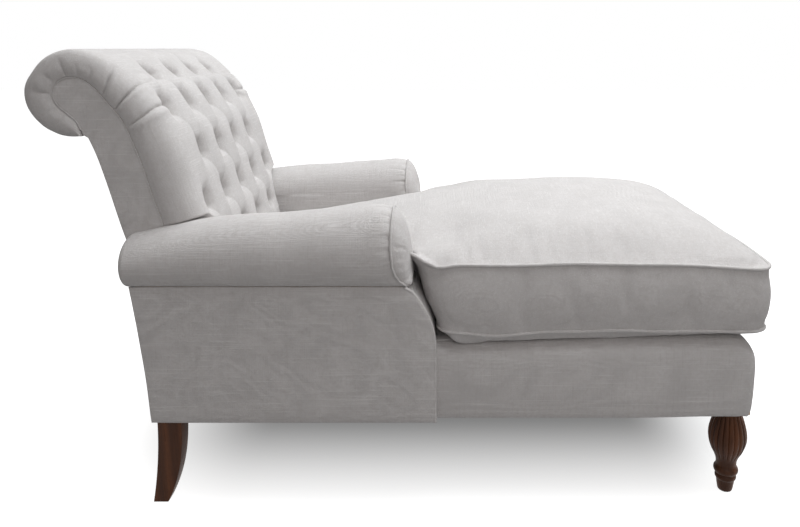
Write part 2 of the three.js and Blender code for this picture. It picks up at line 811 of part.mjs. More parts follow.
// Rows are counted up from the seat, and each row's buttons lie between those of the next
function rowPlace(share) {
  const pairs = buttonRowShares.map((place, row) => [place, row]);
  pairs.unshift([0, -buttonRowShares[0] / rowStepShare]);
  pairs.push([1, lastRow + (1 - buttonRowShares[lastRow]) / rowStepShare]);
  return along(pairs, share);
}

// How far the cover is drawn in at a place on the buttoned back
function drawnIn(x, row) {
  const inRow = THREE.MathUtils.clamp(row, 0, lastRow);
  const p = x / buttonPitch;
  const wider = Math.abs(Math.sin((Math.PI * inRow) / 2)) / 2;
  const edge = (shortRowReach + wider) * buttonPitch;
  const alpha = p + (inRow - 1) / 2;
  const beta = p - (inRow - 1) / 2;
  const puff = Math.sqrt(Math.abs(Math.cos(Math.PI * alpha + Math.PI / 2))
    * Math.abs(Math.cos(Math.PI * beta + Math.PI / 2)));
  const nearRow = Math.round(inRow);
  const shift = nearRow % 2 === 0 ? 0.5 : 0;
  const nearX = (Math.round(p - shift) + shift) * buttonPitch;
  const away = Math.hypot(x - nearX, (row - nearRow) * rowPitch);
  const past = Math.hypot(
    Math.max(0, Math.abs(x) - edge),
    Math.abs(row - inRow) * rowPitch,
  );
  const fold = foldDepth * (1 - puff) * Math.exp(-past / borderFade);
  const pocket = pocketDepth * Math.exp(-((away / pocketRadius) ** 2));
  return fold + pocket;
}

function padPoint(x, share) {
  const rim = backHalf * paddedRimShare;
  const sideShare = Math.max(0, (Math.abs(x) - rim) / (backHalf - rim));
  const scroll = THREE.MathUtils.smoothstep(share, ...scrollStartShares);
  const power = THREE.MathUtils.lerp(padRoundPower, scrollRoundPower, scroll);
  const round = Math.sqrt(Math.max(0, 1 - sideShare ** power));
  const full = padThickness * along(padThicknessShares, share) - padGap;
  const reach = Math.max(full * round, Math.min(full, padSideMinimum));
  const drawn = Math.min(drawnIn(x, rowPlace(share)), full * deepestShare);
  const spot = beside(frontEdge, share, padGap + reach - drawn);
  return new THREE.Vector3(x, spot.x, spot.y);
}

function padColumns() {
  const rim = backHalf * paddedRimShare;
  const inner = samples(8, 0, buttonPitch * 2, (x) => x);
  const outer = padSideShares.map((share) => THREE.MathUtils.lerp(rim, backHalf, share));
  const half = [...inner, ...outer];
  return [...half.slice(1).reverse().map((x) => -x), ...half];
}

function padRows() {
  const [first, ...others] = buttonRowShares;
  const rows = samples(4, 0, first, (t) => t);
  let from = first;
  others.forEach((to) => {
    rows.push(...samples(4, from, to, (t) => t).slice(1));
    from = to;
  });
  rows.push(...samples(9, from, 1, (t) => t).slice(1));
  return rows;
}

function paddedBack() {
  const columns = padColumns();
  const rows = padRows();
  const points = [];
  const triangles = [];
  columns.forEach((x) => rows.forEach((share) => points.push(padPoint(x, share))));
  const count = rows.length;
  for (let c = 0; c + 1 < columns.length; c += 1) {
    for (let r = 0; r + 1 < count; r += 1) {
      const a = c * count + r;
      const flip = (c + r) % 2 === 0;
      const [b, d, e] = [a + 1, a + count, a + count + 1];
      if (flip) triangles.push([a, b, e], [a, e, d]);
      else triangles.push([a, b, d], [b, e, d]);
    }
  }
  const last = columns.length - 1;
  const start = points.length;
  [columns[0], columns[last]].forEach((x) => rows.forEach((share) => {
    const spot = beside(frontEdge, share, padGap);
    points.push(new THREE.Vector3(x, spot.x, spot.y));
  }));
  for (let r = 0; r + 1 < count; r += 1) {
    const [a, b] = [start + r, start + r + 1];
    const [c, d] = [start + count + r, start + count + r + 1];
    triangles.push([a, c, d], [a, d, b]);
    triangles.push([r, a, b], [r, b, r + 1]);
    const edge = last * count + r;
    triangles.push([c, edge, edge + 1], [c, edge + 1, d]);
  }
  for (let c = 0; c < last; c += 1) {
    const near = c < last / 2 ? start : start + count;
    triangles.push([near, c * count, (c + 1) * count]);
    const far = near + count - 1;
    triangles.push([far, (c + 2) * count - 1, (c + 1) * count - 1]);
  }
  const middle = Math.floor(last / 2);
  triangles.push([start, middle * count, start + count]);
  triangles.push([start + count - 1, start + count * 2 - 1, (middle + 1) * count - 1]);
  return closedSurface(points, triangles);
}

function buttonAt(x, row) {
  const share = buttonRowShares[row];
  const seat = padPoint(x, share);
  const run = frontEdge.getTangentAt(share);
  const out = new THREE.Vector3(0, -run.y, run.x);
  const profile = buttonProfileShares.map(([reach, rise]) => (
    new THREE.Vector2(reach * buttonRadius, rise * (rise < 0 ? buttonSink : buttonRise))
  ));
  const button = new THREE.LatheGeometry(profile, 6);
  button.applyQuaternion(new THREE.Quaternion().setFromUnitVectors(new THREE.Vector3(0, 1, 0), out));
  button.translate(seat.x, seat.y, seat.z);
  return solidOf(button);
}

function makeButtonedBack() {
  let pad = solidOf(paddedBack());
  buttonRowShares.forEach((share, row) => {
    const places = row % 2 === 0 ? [0.5, 1.5] : [0, 1, 2];
    places.forEach((place) => {
      pad = pad.add(buttonAt(place * buttonPitch, row));
      if (place > 0) pad = pad.add(buttonAt(-place * buttonPitch, row));
    });
  });
  const arm = armEnvelope(fitGap);
  pad = pad.subtract(arm).subtract(arm.mirror([1, 0, 0]));
  addPiece("back_pad", geometryOf(pad), linen);
}

// The T-shaped outline of the seat cushion, as a half outline from the front round to the back
function cushionHalfOutline() {
  const half = baseHalf;
  const stem = armInner - pipingRadius - cushionSideGap;
  const front = -footLength - frontOverhang;
  const ear = -pipingRadius - cushionArmGap;
  const padFront = beside(frontEdge, 0, padThickness * padThicknessShares[1][1]).x;
  const rear = padFront - pipingRadius - cushionBackGap;
  const arc = (cx, cy, radius, from, to, steps) => samples(steps, from, to, (angle) => [
    cx + radius * Math.cos(angle),
    cy + radius * Math.sin(angle),
  ]);
  const quarter = Math.PI / 2;
  const bow = (t) => edgeDrawIn * Math.sin(Math.PI * t);
  const frontRun = samples(4, 0, 1, (t) => [
    THREE.MathUtils.lerp(0, half - cushionCornerRadius, t),
    front + bow(0.5 + t / 2),
  ]).slice(0, 4);
  const sideRun = samples(7, 0, 1, (t) => [
    half - bow(t),
    THREE.MathUtils.lerp(front + cushionCornerRadius, ear - earCornerRadius, t),
  ]).slice(1, 7);
  return [
    ...frontRun,
    ...arc(half - cushionCornerRadius, front + cushionCornerRadius, cushionCornerRadius,
      -quarter, 0, 4),
    ...sideRun,
    ...arc(half - earCornerRadius, ear - earCornerRadius, earCornerRadius, 0, quarter, 3),
    [stem + earCornerRadius * 1.5, ear],
    ...arc(stem + notchRadius, ear + notchRadius, notchRadius, quarter * 3, quarter * 2, 1),
    ...samples(6, ear + notchRadius, rear - stemCornerRadius, (y) => [stem, y]).slice(1, 6),
    ...arc(stem - stemCornerRadius, rear - stemCornerRadius, stemCornerRadius, 0, quarter, 3),
    [stem / 2, rear],
    [0, rear],
  ];
}

function cushionOutline() {
  const half = cushionHalfOutline();
  return [...half, ...half.slice(1, -1).reverse().map(([x, y]) => [-x, y])];
}

// The height of the upper piping, which climbs beside the arms and falls towards the back
function pipingHeight(x, y) {
  const level = pipingBottomHeight + boxingHeight;
  const ear = -pipingRadius - cushionArmGap;
  const climb = THREE.MathUtils.smoothstep(y, ear - stemCornerRadius, ear + notchRadius * 2);
  const fall = THREE.MathUtils.smoothstep(y, ear, backFootPlace - padThickness);
  const [middleShare, sideShare] = pipingRiseShares;
  const rise = stemPipingRise * (middleShare + sideShare * (x / baseHalf) ** 2);
  return level + rise * climb - (stemPipingFall + rise) * fall;
}

function makeCushion() {
  const outline = cushionOutline();
  const centreY = -footLength / 5;
  const ear = -pipingRadius - cushionArmGap;
  const ring = (shift, grow, scale) => outline.map(([x, y], i) => {
    const before = outline[(i + outline.length - 1) % outline.length];
    const after = outline[(i + 1) % outline.length];
    const run = new THREE.Vector2(after[0] - before[0], after[1] - before[1]).normalize();
    const held = y > ear - earCornerRadius ? Math.min(grow, pipingRadius) : grow;
    const px = (x + run.y * held) * scale;
    const py = centreY + (y - run.x * held - centreY) * scale;
    return shift(px, py, x, y);
  });
  const lean = (y, x, height) => {
    const share = (height - pipingBottomHeight) / boxingHeight;
    const leans = Math.abs(x) > armInner && y > ear - earCornerRadius ? 1 : 0;
    return y + leans * earLean * along(earLeanShares, Math.max(share, 0));
  };
  const at = (offset, level) => (px, py, x, y) => {
    const top = pipingHeight(x, y);
    const height = THREE.MathUtils.lerp(pipingBottomHeight, top, level) + offset;
    return new THREE.Vector3(px, lean(py, px, height), height);
  };
  const cord = pipingRadius;
  const rings = [];
  const deckGap = cushionLiftClearance;
  const bottomOf = (depth) => (px, py) => new THREE.Vector3(
    px,
    py,
    THREE.MathUtils.lerp(pipingBottomHeight - cord, deckHeight(py) + deckGap, depth),
  );
  rings.push(...bellyShares.map(([scale, depth]) => ring(bottomOf(depth), 0, scale)).reverse());
  pipingRingShares.forEach(([rise, reach]) => {
    rings.push(ring(at(cord * rise, 0), cord * reach, 1));
  });
  boxingShares.forEach((level) => rings.push(ring(at(0, level), boxingBulge, 1)));
  pipingRingShares.slice().reverse().forEach(([rise, reach]) => {
    rings.push(ring(at(-cord * rise, 1), cord * reach, 1));
  });
  const crownAt = (px, py, scale) => {
    const back = THREE.MathUtils.smoothstep(py, -footLength / 3, backFootPlace - padThickness);
    const crown = THREE.MathUtils.lerp(crownHeight, stemCrownHeight, back);
    const acrossFall = 1 - crownFallShare * Math.abs(px / baseHalf) ** crownFallPower;
    const alongFall = 1 - crownFallShare * Math.abs((py - centreY) / footLength) ** crownFallPower;
    const swell = acrossFall * alongFall * (1 - scale ** crownEdgePower);
    const height = pipingHeight(px, py) + cord + crown * swell;
    return new THREE.Vector3(px, py, height);
  };
  crownShares.forEach((scale) => {
    rings.push(ring((px, py) => crownAt(px, py, scale), 0, scale));
  });
  const points = rings.flat();
  const count = outline.length;
  const triangles = [];
  for (let r = 0; r + 1 < rings.length; r += 1) {
    for (let i = 0; i < count; i += 1) {
      const a = r * count + i;
      const b = r * count + ((i + 1) % count);
      triangles.push([a, b, b + count], [a, b + count, a + count]);
    }
  }
  const floorCentre = points.length;
  points.push(new THREE.Vector3(0, centreY, deckHeight(centreY) + deckGap));
  points.push(crownAt(0, centreY, 0));
  const lastRing = (rings.length - 1) * count;
  for (let i = 0; i < count; i += 1) {
    const next = (i + 1) % count;
    triangles.push([floorCentre, next, i]);
    triangles.push([floorCentre + 1, lastRing + i, lastRing + next]);
  }
  addPiece("seat_cushion", closedSurface(points, triangles), linen);
}

makeBaseFrame();
makeFrontLegs();
makeRearLegs();
makeBaseUpholstery();
makeBackFrame();
makeArms();
makeButtonedBack();
makeCushion();

// The origin goes to the middle of the length, between the cushion's front and the scroll
const extent = new THREE.Box3().setFromObject(chaise);
chaise.position.y = -(extent.min.y + extent.max.y) / 2;

export default chaise;
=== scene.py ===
"""A chaise longue in slub linen, with its walnut legs, on a pale studio floor."""
import math

import bmesh
import bpy
import numpy as np
from mathutils import Matrix, Vector
from mathutils.kdtree import KDTree


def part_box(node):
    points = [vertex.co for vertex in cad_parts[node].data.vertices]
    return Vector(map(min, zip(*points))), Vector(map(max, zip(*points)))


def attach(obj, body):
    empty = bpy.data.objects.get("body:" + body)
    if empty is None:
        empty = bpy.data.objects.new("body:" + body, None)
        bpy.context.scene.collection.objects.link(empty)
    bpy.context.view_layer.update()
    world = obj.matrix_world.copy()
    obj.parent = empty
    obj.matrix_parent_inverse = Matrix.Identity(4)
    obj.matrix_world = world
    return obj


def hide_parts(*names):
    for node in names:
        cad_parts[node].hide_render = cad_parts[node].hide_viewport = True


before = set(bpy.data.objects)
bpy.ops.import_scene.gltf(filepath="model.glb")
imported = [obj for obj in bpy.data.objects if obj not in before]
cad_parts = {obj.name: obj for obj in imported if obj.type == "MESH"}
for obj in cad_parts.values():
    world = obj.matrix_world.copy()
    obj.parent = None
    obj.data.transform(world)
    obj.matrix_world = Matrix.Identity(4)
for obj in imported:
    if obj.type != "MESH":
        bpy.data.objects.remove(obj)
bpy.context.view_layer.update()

# Lengths are in millimetres, and Y is zero at the front of the arms, as in the part's source.
# The last step of each piece turns them into metres in the part's own frame.
MILLIMETRE = 0.001
ARM_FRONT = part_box("arm_outside_panel_left")[0].y
TO_FRAME = Matrix.Translation((0, ARM_FRONT, 0)) @ Matrix.Scale(MILLIMETRE, 4)

# What is left free between a cover and its neighbour
FIT = 0.3

# Base
COVER_BOTTOM = 203
BASE_HALF = 383
BASE_FRONT = -667
BASE_CORNER = 28
BORDER_PADDING = 8.3
BORDER_TUCK = 33.2
HEM_RISE = 5
TOP_ROUNDING = 24
RAIL_TOP = 330
DECK_REAR = 363.7
DECK_FRONT = 383.7
PLATFORM_HALF = 349.5
PLATFORM_BOTTOM = 332.6
PLATFORM_FRONT = -625
PLATFORM_REAR = 511
PLATFORM_CORNER = 14

# Arms
ARM_OUTER = 402
ARM_INNER = 255
ARM_BOARD_OUTER = 395.7
ARM_PAD_BACK = 299.7
ARM_TOP = 495
ARM_REAR = 585
ROLL_HALF = 82.5
ROLL_CENTRE = 337.5
ROLL_HEIGHT = 153
ROLL_FRONT = 88
ROLL_REAR = 625
ROLL_END_DOME = 14
ROLL_END_SHRINK = 0.26
ROLL_GATHERS = 34
FACING_DOME = 40
FACING_TUCKS = 15
SCOOP_REACH = 64
SCOOP_RISE = 165
SCOOP_FOOT = ARM_TOP - SCOOP_RISE
SCOOP_TUCK = 24
SCOOP_COVER = 7
PANEL_CLOTH = 5
ARM_CORD = 3.4
DOME_CORD = 2.5
LEFT_SETTLED = 0.92

# Back
BACK_FOOT = (514, 364)
SCROLL_REACH = 241
BACK_RISE = 541
BACK_HALF = 342.4
FACING_INNER = 336.4
FACING_FOOT = 546
OUTSIDE_CLOTH = 6
SIDE_CORD = 1.6
PAD_THICKNESS = 80
PAD_GAP = 2.6
PAD_RIM = 281
SCROLL_RIM = 318
SIDE_SWELL = 7
BUTTON_PITCH = 125
ROW_PITCH = 102
BUTTON_RADIUS = 11
BUTTON_FLATNESS = 0.52
FOLD_SLOPE = math.hypot(1 / BUTTON_PITCH, 0.5 / ROW_PITCH)
MOST_DRAWN = 0.82
POCKET_DEPTH = 33
POCKET_WIDTH = 14.5
HOLLOW_DEPTH = 12
HOLLOW_WIDTH = 30
VALLEY_DEPTH = 5.6
VALLEY_WIDTH = 38
VALLEY_REST = 1.4
GATHER_DEPTH = 3.4
FOLD_DEPTH = 8
FOLD_WIDTH = 2.6
SEAT_FOLD_DEPTH = 13
SEAT_FOLD_WIDTH = 5
SEAT_FOLD_LENGTH = 90
SCROLL_FOLD_DEPTH = 8
SCROLL_FOLD_WIDTH = 4
SCROLL_FOLD_LENGTH = 26

# Cushion
PIPING = 3.8
CUSHION_FRONT = -682
CUSHION_EAR = -6
CUSHION_STEM = 249.3
CUSHION_REAR = 423.5
FOOT_CORNER = 42
EAR_CORNER = 34
NECK_CORNER = 10
STEM_CORNER = 40
SIDE_BOW = 5
PIPING_BOTTOM = 395
BOXING = 140
STEM_RISE = 20
STEM_FALL = 46
CROWN = 74
STEM_CROWN = 34
CROWN_REACH = 190
EAR_LEAN = 57
INNER_LEAN = 24
EAR_DIP = 7
SOFT_SAG = 9
FOOT_DROOP = 9
BELLY_HANG = 6
BELLY_LEVEL = 364.5
BELLY_RISE = 13
BELLY_TURN = 17
HANG_REACH = 28
BOXING_SWELL = 8
PUCKERS = 44
# The length of the cushion's outline, as the ripples and the puckers of its boxing count it
RIPPLE_RUN = 7000
PUCKER_RUN = 3400

# Cloth that is filled with air, where a hold is counted in cells of its net
FILLING_STEPS = 20
HELD_WITHIN = 0.8
FREE_BEYOND = 1.8
DRAWN_TO_SEAM = 0.8

# Legs
LEG_HEIGHT = 205.7
BULB_RADIUS = 39.5
FRONT_LEG_X = BASE_HALF - 62
FRONT_LEG_Y = BASE_FRONT + 30
REEDS = 20
REED_DEPTH = 0.085
LEG_TILT = 5
REAR_LEG_OUTER = 374
REAR_LEG_BACK = 577.4
REAR_LEG_WIDTH = 45
REAR_LEG_DEPTH = 50
REAR_LEG_TAPER = 6
HEEL_STEP = 7.4
FRONT_SWEEP = 41
BACK_SWEEP = 23

# How far in the border's cover stands, at shares of its height
BORDER_SECTION = (
    (3, 0), (0.6, 0.05), (-0.6, 0.2), (-1.6, 0.45), (-0.7, 0.7), (1.2, 0.81), (6, 0.88),
    (16, 0.935), (28, 0.967), (BORDER_TUCK, 0.975),
)
# The front of the back's frame, up over the scroll, in shares of its reach and its rise
FRONT_EDGE_SHARES = (
    (0, 0), (0.028, 0.125), (0.07, 0.25), (0.174, 0.445), (0.241, 0.545), (0.303, 0.654),
    (0.365, 0.741), (0.444, 0.834), (0.531, 0.889), (0.643, 0.952), (0.718, 0.983),
    (0.793, 0.997), (0.867, 1), (0.945, 0.987), (0.985, 0.962), (1, 0.931), (0.967, 0.9),
    (0.896, 0.871), (0.822, 0.839), (0.784, 0.791),
)
# The rear of the back's frame, in the same shares
REAR_EDGE_SHARES = (
    (0.311, -0.146), (0.336, -0.015), (0.365, 0.123), (0.402, 0.248), (0.519, 0.42),
    (0.618, 0.597), (0.689, 0.712), (0.747, 0.78),
)
# The pad's thickness at shares along it, and where the tail under the scroll starts
PAD_SHARES = (
    (0, 0.93), (0.2, 1), (0.52, 1), (0.7, 0.83), (0.78, 0.7), (0.84, 0.7), (0.87, 0.83),
    (0.93, 0.67),
)
PAD_EASE = 0.016
TAIL_START = 0.92
TAIL_SPOTS = ((757, 791), (741, 787.5), (724, 787), (707, 789))
# Where each row of buttons stands along the pad
BUTTON_ROWS = (0.219, 0.342, 0.488, 0.62, 0.71)
# Where each pleat leaves the side seam and ends, its reach, depth and width
PLEATS = (
    (0.602, 0.632, 104, 9.0, 0.0026), (0.655, 0.676, 66, 15.0, 0.0030),
    (0.703, 0.738, 52, 13.0, 0.0028), (0.748, 0.760, 30, 5.0, 0.0026),
    (0.778, 0.783, 26, 4.5, 0.0024), (0.807, 0.809, 40, 6.5, 0.0028),
    (0.838, 0.837, 30, 5.0, 0.0026), (0.868, 0.866, 46, 7.0, 0.0030),
    (0.9, 0.897, 30, 5.0, 0.0026), (0.93, 0.928, 30, 4.0, 0.0026),
)
# The roll's height at shares of its length, from its front
ROLL_HEIGHT_SHARES = ((0, 1), (0.34, 0.92), (0.67, 0.84), (0.86, 0.72), (1, 0.62))
# Where the roll's cover, past its arc, is down, across, up and home again
ROLL_TAIL = (0, 0.55, 0.67, 0.87, 1)
# The curve of the arm's front, in shares of its reach and its rise
SCOOP_SHARES = (
    (0, 0), (0.02, 0.27), (0.06, 0.42), (0.19, 0.59), (0.42, 0.77), (0.72, 0.93), (1, 1),
)
# Heights on the roll's front, with how far back its seam stands there
FACE_SEAM = (
    (495, 60), (501, 63), (508, 73), (522, 81), (540, 87), (576, 90), (621, 89), (660, 85),
)
# How much of their lean the ears have, at shares of the boxing's height
EAR_LEAN_SHARES = ((0, 0), (0.34, 0.26), (0.83, 0.53), (0.96, 0.69), (1.02, 0.9), (1.1, 1))
# Extra deep puckers, where the ears' corners are sewn
CORNER_PUCKERS = (0.262, 0.27, 0.279, 0.721, 0.73, 0.738)
# The turned leg, in shares of the bulb's radius and of the leg's height
BULB_SHARES = (
    (0.67, 1), (0.67, 0.93), (0.72, 0.875), (0.87, 0.79), (0.98, 0.7), (1.01, 0.62),
    (0.96, 0.55), (0.83, 0.475), (0.66, 0.41), (0.565, 0.36), (0.535, 0.31),
)
COLLAR_SHARES = (
    (0.54, 0.29), (0.59, 0.275), (0.64, 0.257), (0.65, 0.235), (0.61, 0.213),
    (0.525, 0.198), (0.515, 0.186), (0.56, 0.17), (0.555, 0.146), (0.49, 0.125),
    (0.44, 0.06), (0.395, 0.012), (0.36, 0),
)


# Curves and small sums

class Line:
    """A smooth line through points in a plane, walked by its own length."""

    def __init__(self, points, steps=60):
        points = np.array(points, float)
        padded = np.vstack([points[:1], points, points[-1:]])
        walked = []
        for i in range(len(points) - 1):
            a, b, c, d = padded[i : i + 4]
            t = np.linspace(0, 1, steps, endpoint=False)[:, None]
            start, end = (c - a) / 2, (d - b) / 2
            walked.append(
                (2 * b - 2 * c + start + end) * t**3
                + (3 * c - 3 * b - 2 * start - end) * t**2
                + start * t
                + b
            )
        self.points = np.vstack([*walked, points[-1:]])
        lengths = np.linalg.norm(np.diff(self.points, axis=0), axis=1)
        self.shares = np.concatenate([[0], np.cumsum(lengths)])
        self.length = self.shares[-1]
        self.shares /= self.length

    def at(self, share):
        """The point at a share of the line."""
        return np.stack([np.interp(share, self.shares, c) for c in self.points.T], -1)

    def run(self, share):
        """The heading of the line, of length one, at a share of it."""
        step = 0.0015
        ahead = self.at(np.clip(share + step, 0, 1)) - self.at(np.clip(share - step, 0, 1))
        return ahead / np.linalg.norm(ahead, axis=-1, keepdims=True)

    def beside(self, share, distance):
        """A point away from the line, to the left of its run."""
        run = self.run(share)
        turned = np.stack([-run[..., 1], run[..., 0]], -1)
        return self.at(share) + turned * np.asarray(distance)[..., None]


def eased(pairs, value, blur):
    """The value between pairs of a share and a size, with its corners eased."""
    pairs = np.array(pairs, float)
    fine = np.linspace(-0.2, 1.2, 561)
    sizes = np.interp(fine, pairs[:, 0], pairs[:, 1])
    reach = max(1, int(blur / (fine[1] - fine[0])))
    window = np.hanning(2 * reach + 3)
    window /= window.sum()
    padded = np.pad(sizes, reach + 1, mode="edge")
    return np.interp(value, fine, np.convolve(padded, window, mode="valid"))


def smoothstep(value, low, high):
    """Zero below low and one above high, with an even rise between them."""
    t = np.clip((value - low) / (high - low), 0, 1)
    return t * t * (3 - 2 * t)


def ripple(spots, size, seed):
    """A gentle unevenness of height about one, with waves of about one size."""
    waves = 8
    draw = np.random.RandomState(seed)
    total = np.zeros(len(spots))
    for _ in range(waves):
        heading = draw.normal(size=3)
        heading *= 2 * math.pi / size * draw.uniform(0.6, 1.5) / np.linalg.norm(heading)
        total += np.sin(spots @ heading + draw.uniform(0, 2 * math.pi))
    return total / math.sqrt(waves)


def crease(distance, width):
    """The depth of a sharp fold, one in its line and nothing far from it."""
    return np.exp(-np.abs(distance) / width)


def hump(distance, width):
    """A soft rise, one in its middle and nothing far from it."""
    return np.exp(-((distance / width) ** 2))


def back_spot(share):
    """A point of the back's frame, from its shares of the reach and the rise."""
    return (BACK_FOOT[0] + share[0] * SCROLL_REACH, BACK_FOOT[1] + share[1] * BACK_RISE)


def pad_thickness(share):
    """How far the pad's cover stands off the frame before the buttons draw it in."""
    return PAD_THICKNESS * eased(PAD_SHARES, share, PAD_EASE)


front_edge = Line([back_spot(share) for share in FRONT_EDGE_SHARES])
rear_edge = Line([(ARM_REAR, COVER_BOTTOM), *map(back_spot, REAR_EDGE_SHARES)])
tail_share = np.array([TAIL_START])
tail_spot = front_edge.beside(tail_share, pad_thickness(tail_share))[0]
scroll_tail = Line([tail_spot, *TAIL_SPOTS])
scoop = Line([(a * SCOOP_REACH, SCOOP_FOOT + b * SCOOP_RISE) for a, b in SCOOP_SHARES])


# Making pieces

def laid(across, along, place, tube=False):
    """A grid of cells laid on the form that place gives for its two shares."""
    bm = bmesh.new()
    bmesh.ops.create_grid(bm, x_segments=across, y_segments=along, size=0.5)
    bm.verts.ensure_lookup_table()
    flat = np.array([v.co for v in bm.verts]) + 0.5
    spots = place(np.clip(flat[:, 0], 0, 1), np.clip(flat[:, 1], 0, 1))
    for v, spot in zip(bm.verts, spots):
        v.co = spot
    bmesh.ops.remove_doubles(bm, verts=bm.verts, dist=0.01)
    bmesh.ops.dissolve_degenerate(bm, edges=bm.edges, dist=0.005)
    if tube:
        bmesh.ops.holes_fill(bm, edges=[e for e in bm.edges if e.is_boundary], sides=0)
    return bm


def thickened(across, along, place, thickness):
    """A sheet laid as place says and given its thickness."""
    sheet = laid(across, along, place)
    bmesh.ops.recalc_face_normals(sheet, faces=sheet.faces)
    bmesh.ops.solidify(sheet, geom=sheet.faces[:], thickness=thickness)
    return sheet


def slab(outline, axis, low, high, cell, rounding):
    """A flat piece cut to an outline, given its thickness and rounded edges."""
    def spot(a, b, depth):
        return (depth, a, b) if axis == "X" else (a, b, depth)

    bm = bmesh.new()
    face = bm.faces.new([bm.verts.new(spot(a, b, low)) for a, b in outline])
    grown = bmesh.ops.extrude_face_region(bm, geom=[face])["geom"]
    far = [v for v in grown if isinstance(v, bmesh.types.BMVert)]
    bmesh.ops.translate(bm, verts=far, vec=spot(0, 0, high - low))
    bmesh.ops.recalc_face_normals(bm, faces=bm.faces)
    depth = 0 if axis == "X" else 2
    rim = [e for e in bm.edges if abs(e.verts[0].co[depth] - e.verts[1].co[depth]) < FIT]
    bmesh.ops.bevel(
        bm, geom=rim, offset=rounding, offset_type="OFFSET", segments=3, profile=0.5,
        affect="EDGES", material=-1, clamp_overlap=True,
    )
    outline = np.array(outline)
    for place, normal in enumerate((spot(1, 0, 0), spot(0, 1, 0))):
        for cut in np.arange(outline[:, place].min() + cell, outline[:, place].max(), cell):
            everything = [*bm.verts, *bm.edges, *bm.faces]
            centre = [n * cut for n in normal]
            bmesh.ops.bisect_plane(bm, geom=everything, plane_co=centre, plane_no=normal)
    return bm


def cord_round(path, radius, closed=False, sides=10):
    """A round cord laid along points, as a tube with its ends closed."""
    path = np.array(path, float)
    ahead = np.roll(path, -1, 0) - np.roll(path, 1, 0)
    if not closed:
        ahead[0], ahead[-1] = path[1] - path[0], path[-1] - path[-2]
    ahead /= np.linalg.norm(ahead, axis=1, keepdims=True)
    side = np.cross(ahead, (0, 0, 1.0))
    flat = np.linalg.norm(side, axis=1) < 0.3
    side[flat] = np.cross(ahead[flat], (1.0, 0, 0))
    for i in range(1, len(side)):
        side[i] = side[i - 1] - ahead[i] * (side[i - 1] @ ahead[i])
        side[i] /= np.linalg.norm(side[i])
    up = np.cross(side, ahead)
    count = len(path) if closed else len(path) - 1

    def place(u, v):
        i = np.rint(v * count).astype(int) % len(path)
        angle = u[:, None] * 2 * math.pi
        return path[i] + radius * (np.cos(angle) * side[i] + np.sin(angle) * up[i])

    return laid(sides, count, place, tube=not closed)


def reshape(bm, change):
    """Moves the corners of a mesh to where change puts them."""
    spots = np.array([v.co for v in bm.verts])
    for v, spot in zip(bm.verts, change(spots)):
        v.co = spot


def mirrored(bm):
    """A copy with its left and right exchanged."""
    copy = bm.copy()
    bmesh.ops.scale(copy, vec=(-1, 1, 1), verts=copy.verts)
    return copy


def joined(*parts):
    """Several separate shapes as the mesh of one piece."""
    whole = bmesh.new()
    for part in parts:
        held = bpy.data.meshes.new("held")
        part.to_mesh(held)
        part.free()
        whole.from_mesh(held)
        bpy.data.meshes.remove(held)
    return whole


def piece(name, bm, finish, slot="linen", body="chaise", nodes=(), crisp=50):
    """A finished piece, which rides its body and may stand in for solids of the frame."""
    bmesh.ops.transform(bm, matrix=TO_FRAME, verts=bm.verts)
    bmesh.ops.recalc_face_normals(bm, faces=bm.faces)
    mesh = bpy.data.meshes.new(name)
    bm.to_mesh(mesh)
    bm.free()
    mesh.shade_smooth()
    mesh.set_sharp_from_angle(angle=math.radians(crisp))
    mesh.materials.append(finish)
    made = bpy.data.objects.new(name, mesh)
    bpy.context.scene.collection.objects.link(made)
    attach(made, body)
    if nodes:
        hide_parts(*nodes)
    return made


def pair(name, bm, finish, nodes=(), settled=1.0, **more):
    """The left piece and its mirror image, where the top of the left one may have settled."""
    other = mirrored(bm)
    for v in bm.verts:
        v.co.z = min(v.co.z, ARM_TOP) + max(v.co.z - ARM_TOP, 0) * settled
    return [
        piece(f"{name}_{side}", shape, finish, nodes=[f"{n}_{side}" for n in nodes], **more)
        for side, shape in (("left", bm), ("right", other))
    ]


def worked_out(made):
    """The mesh of a piece once its modifiers have done their work."""
    view = bpy.context.evaluated_depsgraph_get()
    return bpy.data.meshes.new_from_object(made.evaluated_get(view))


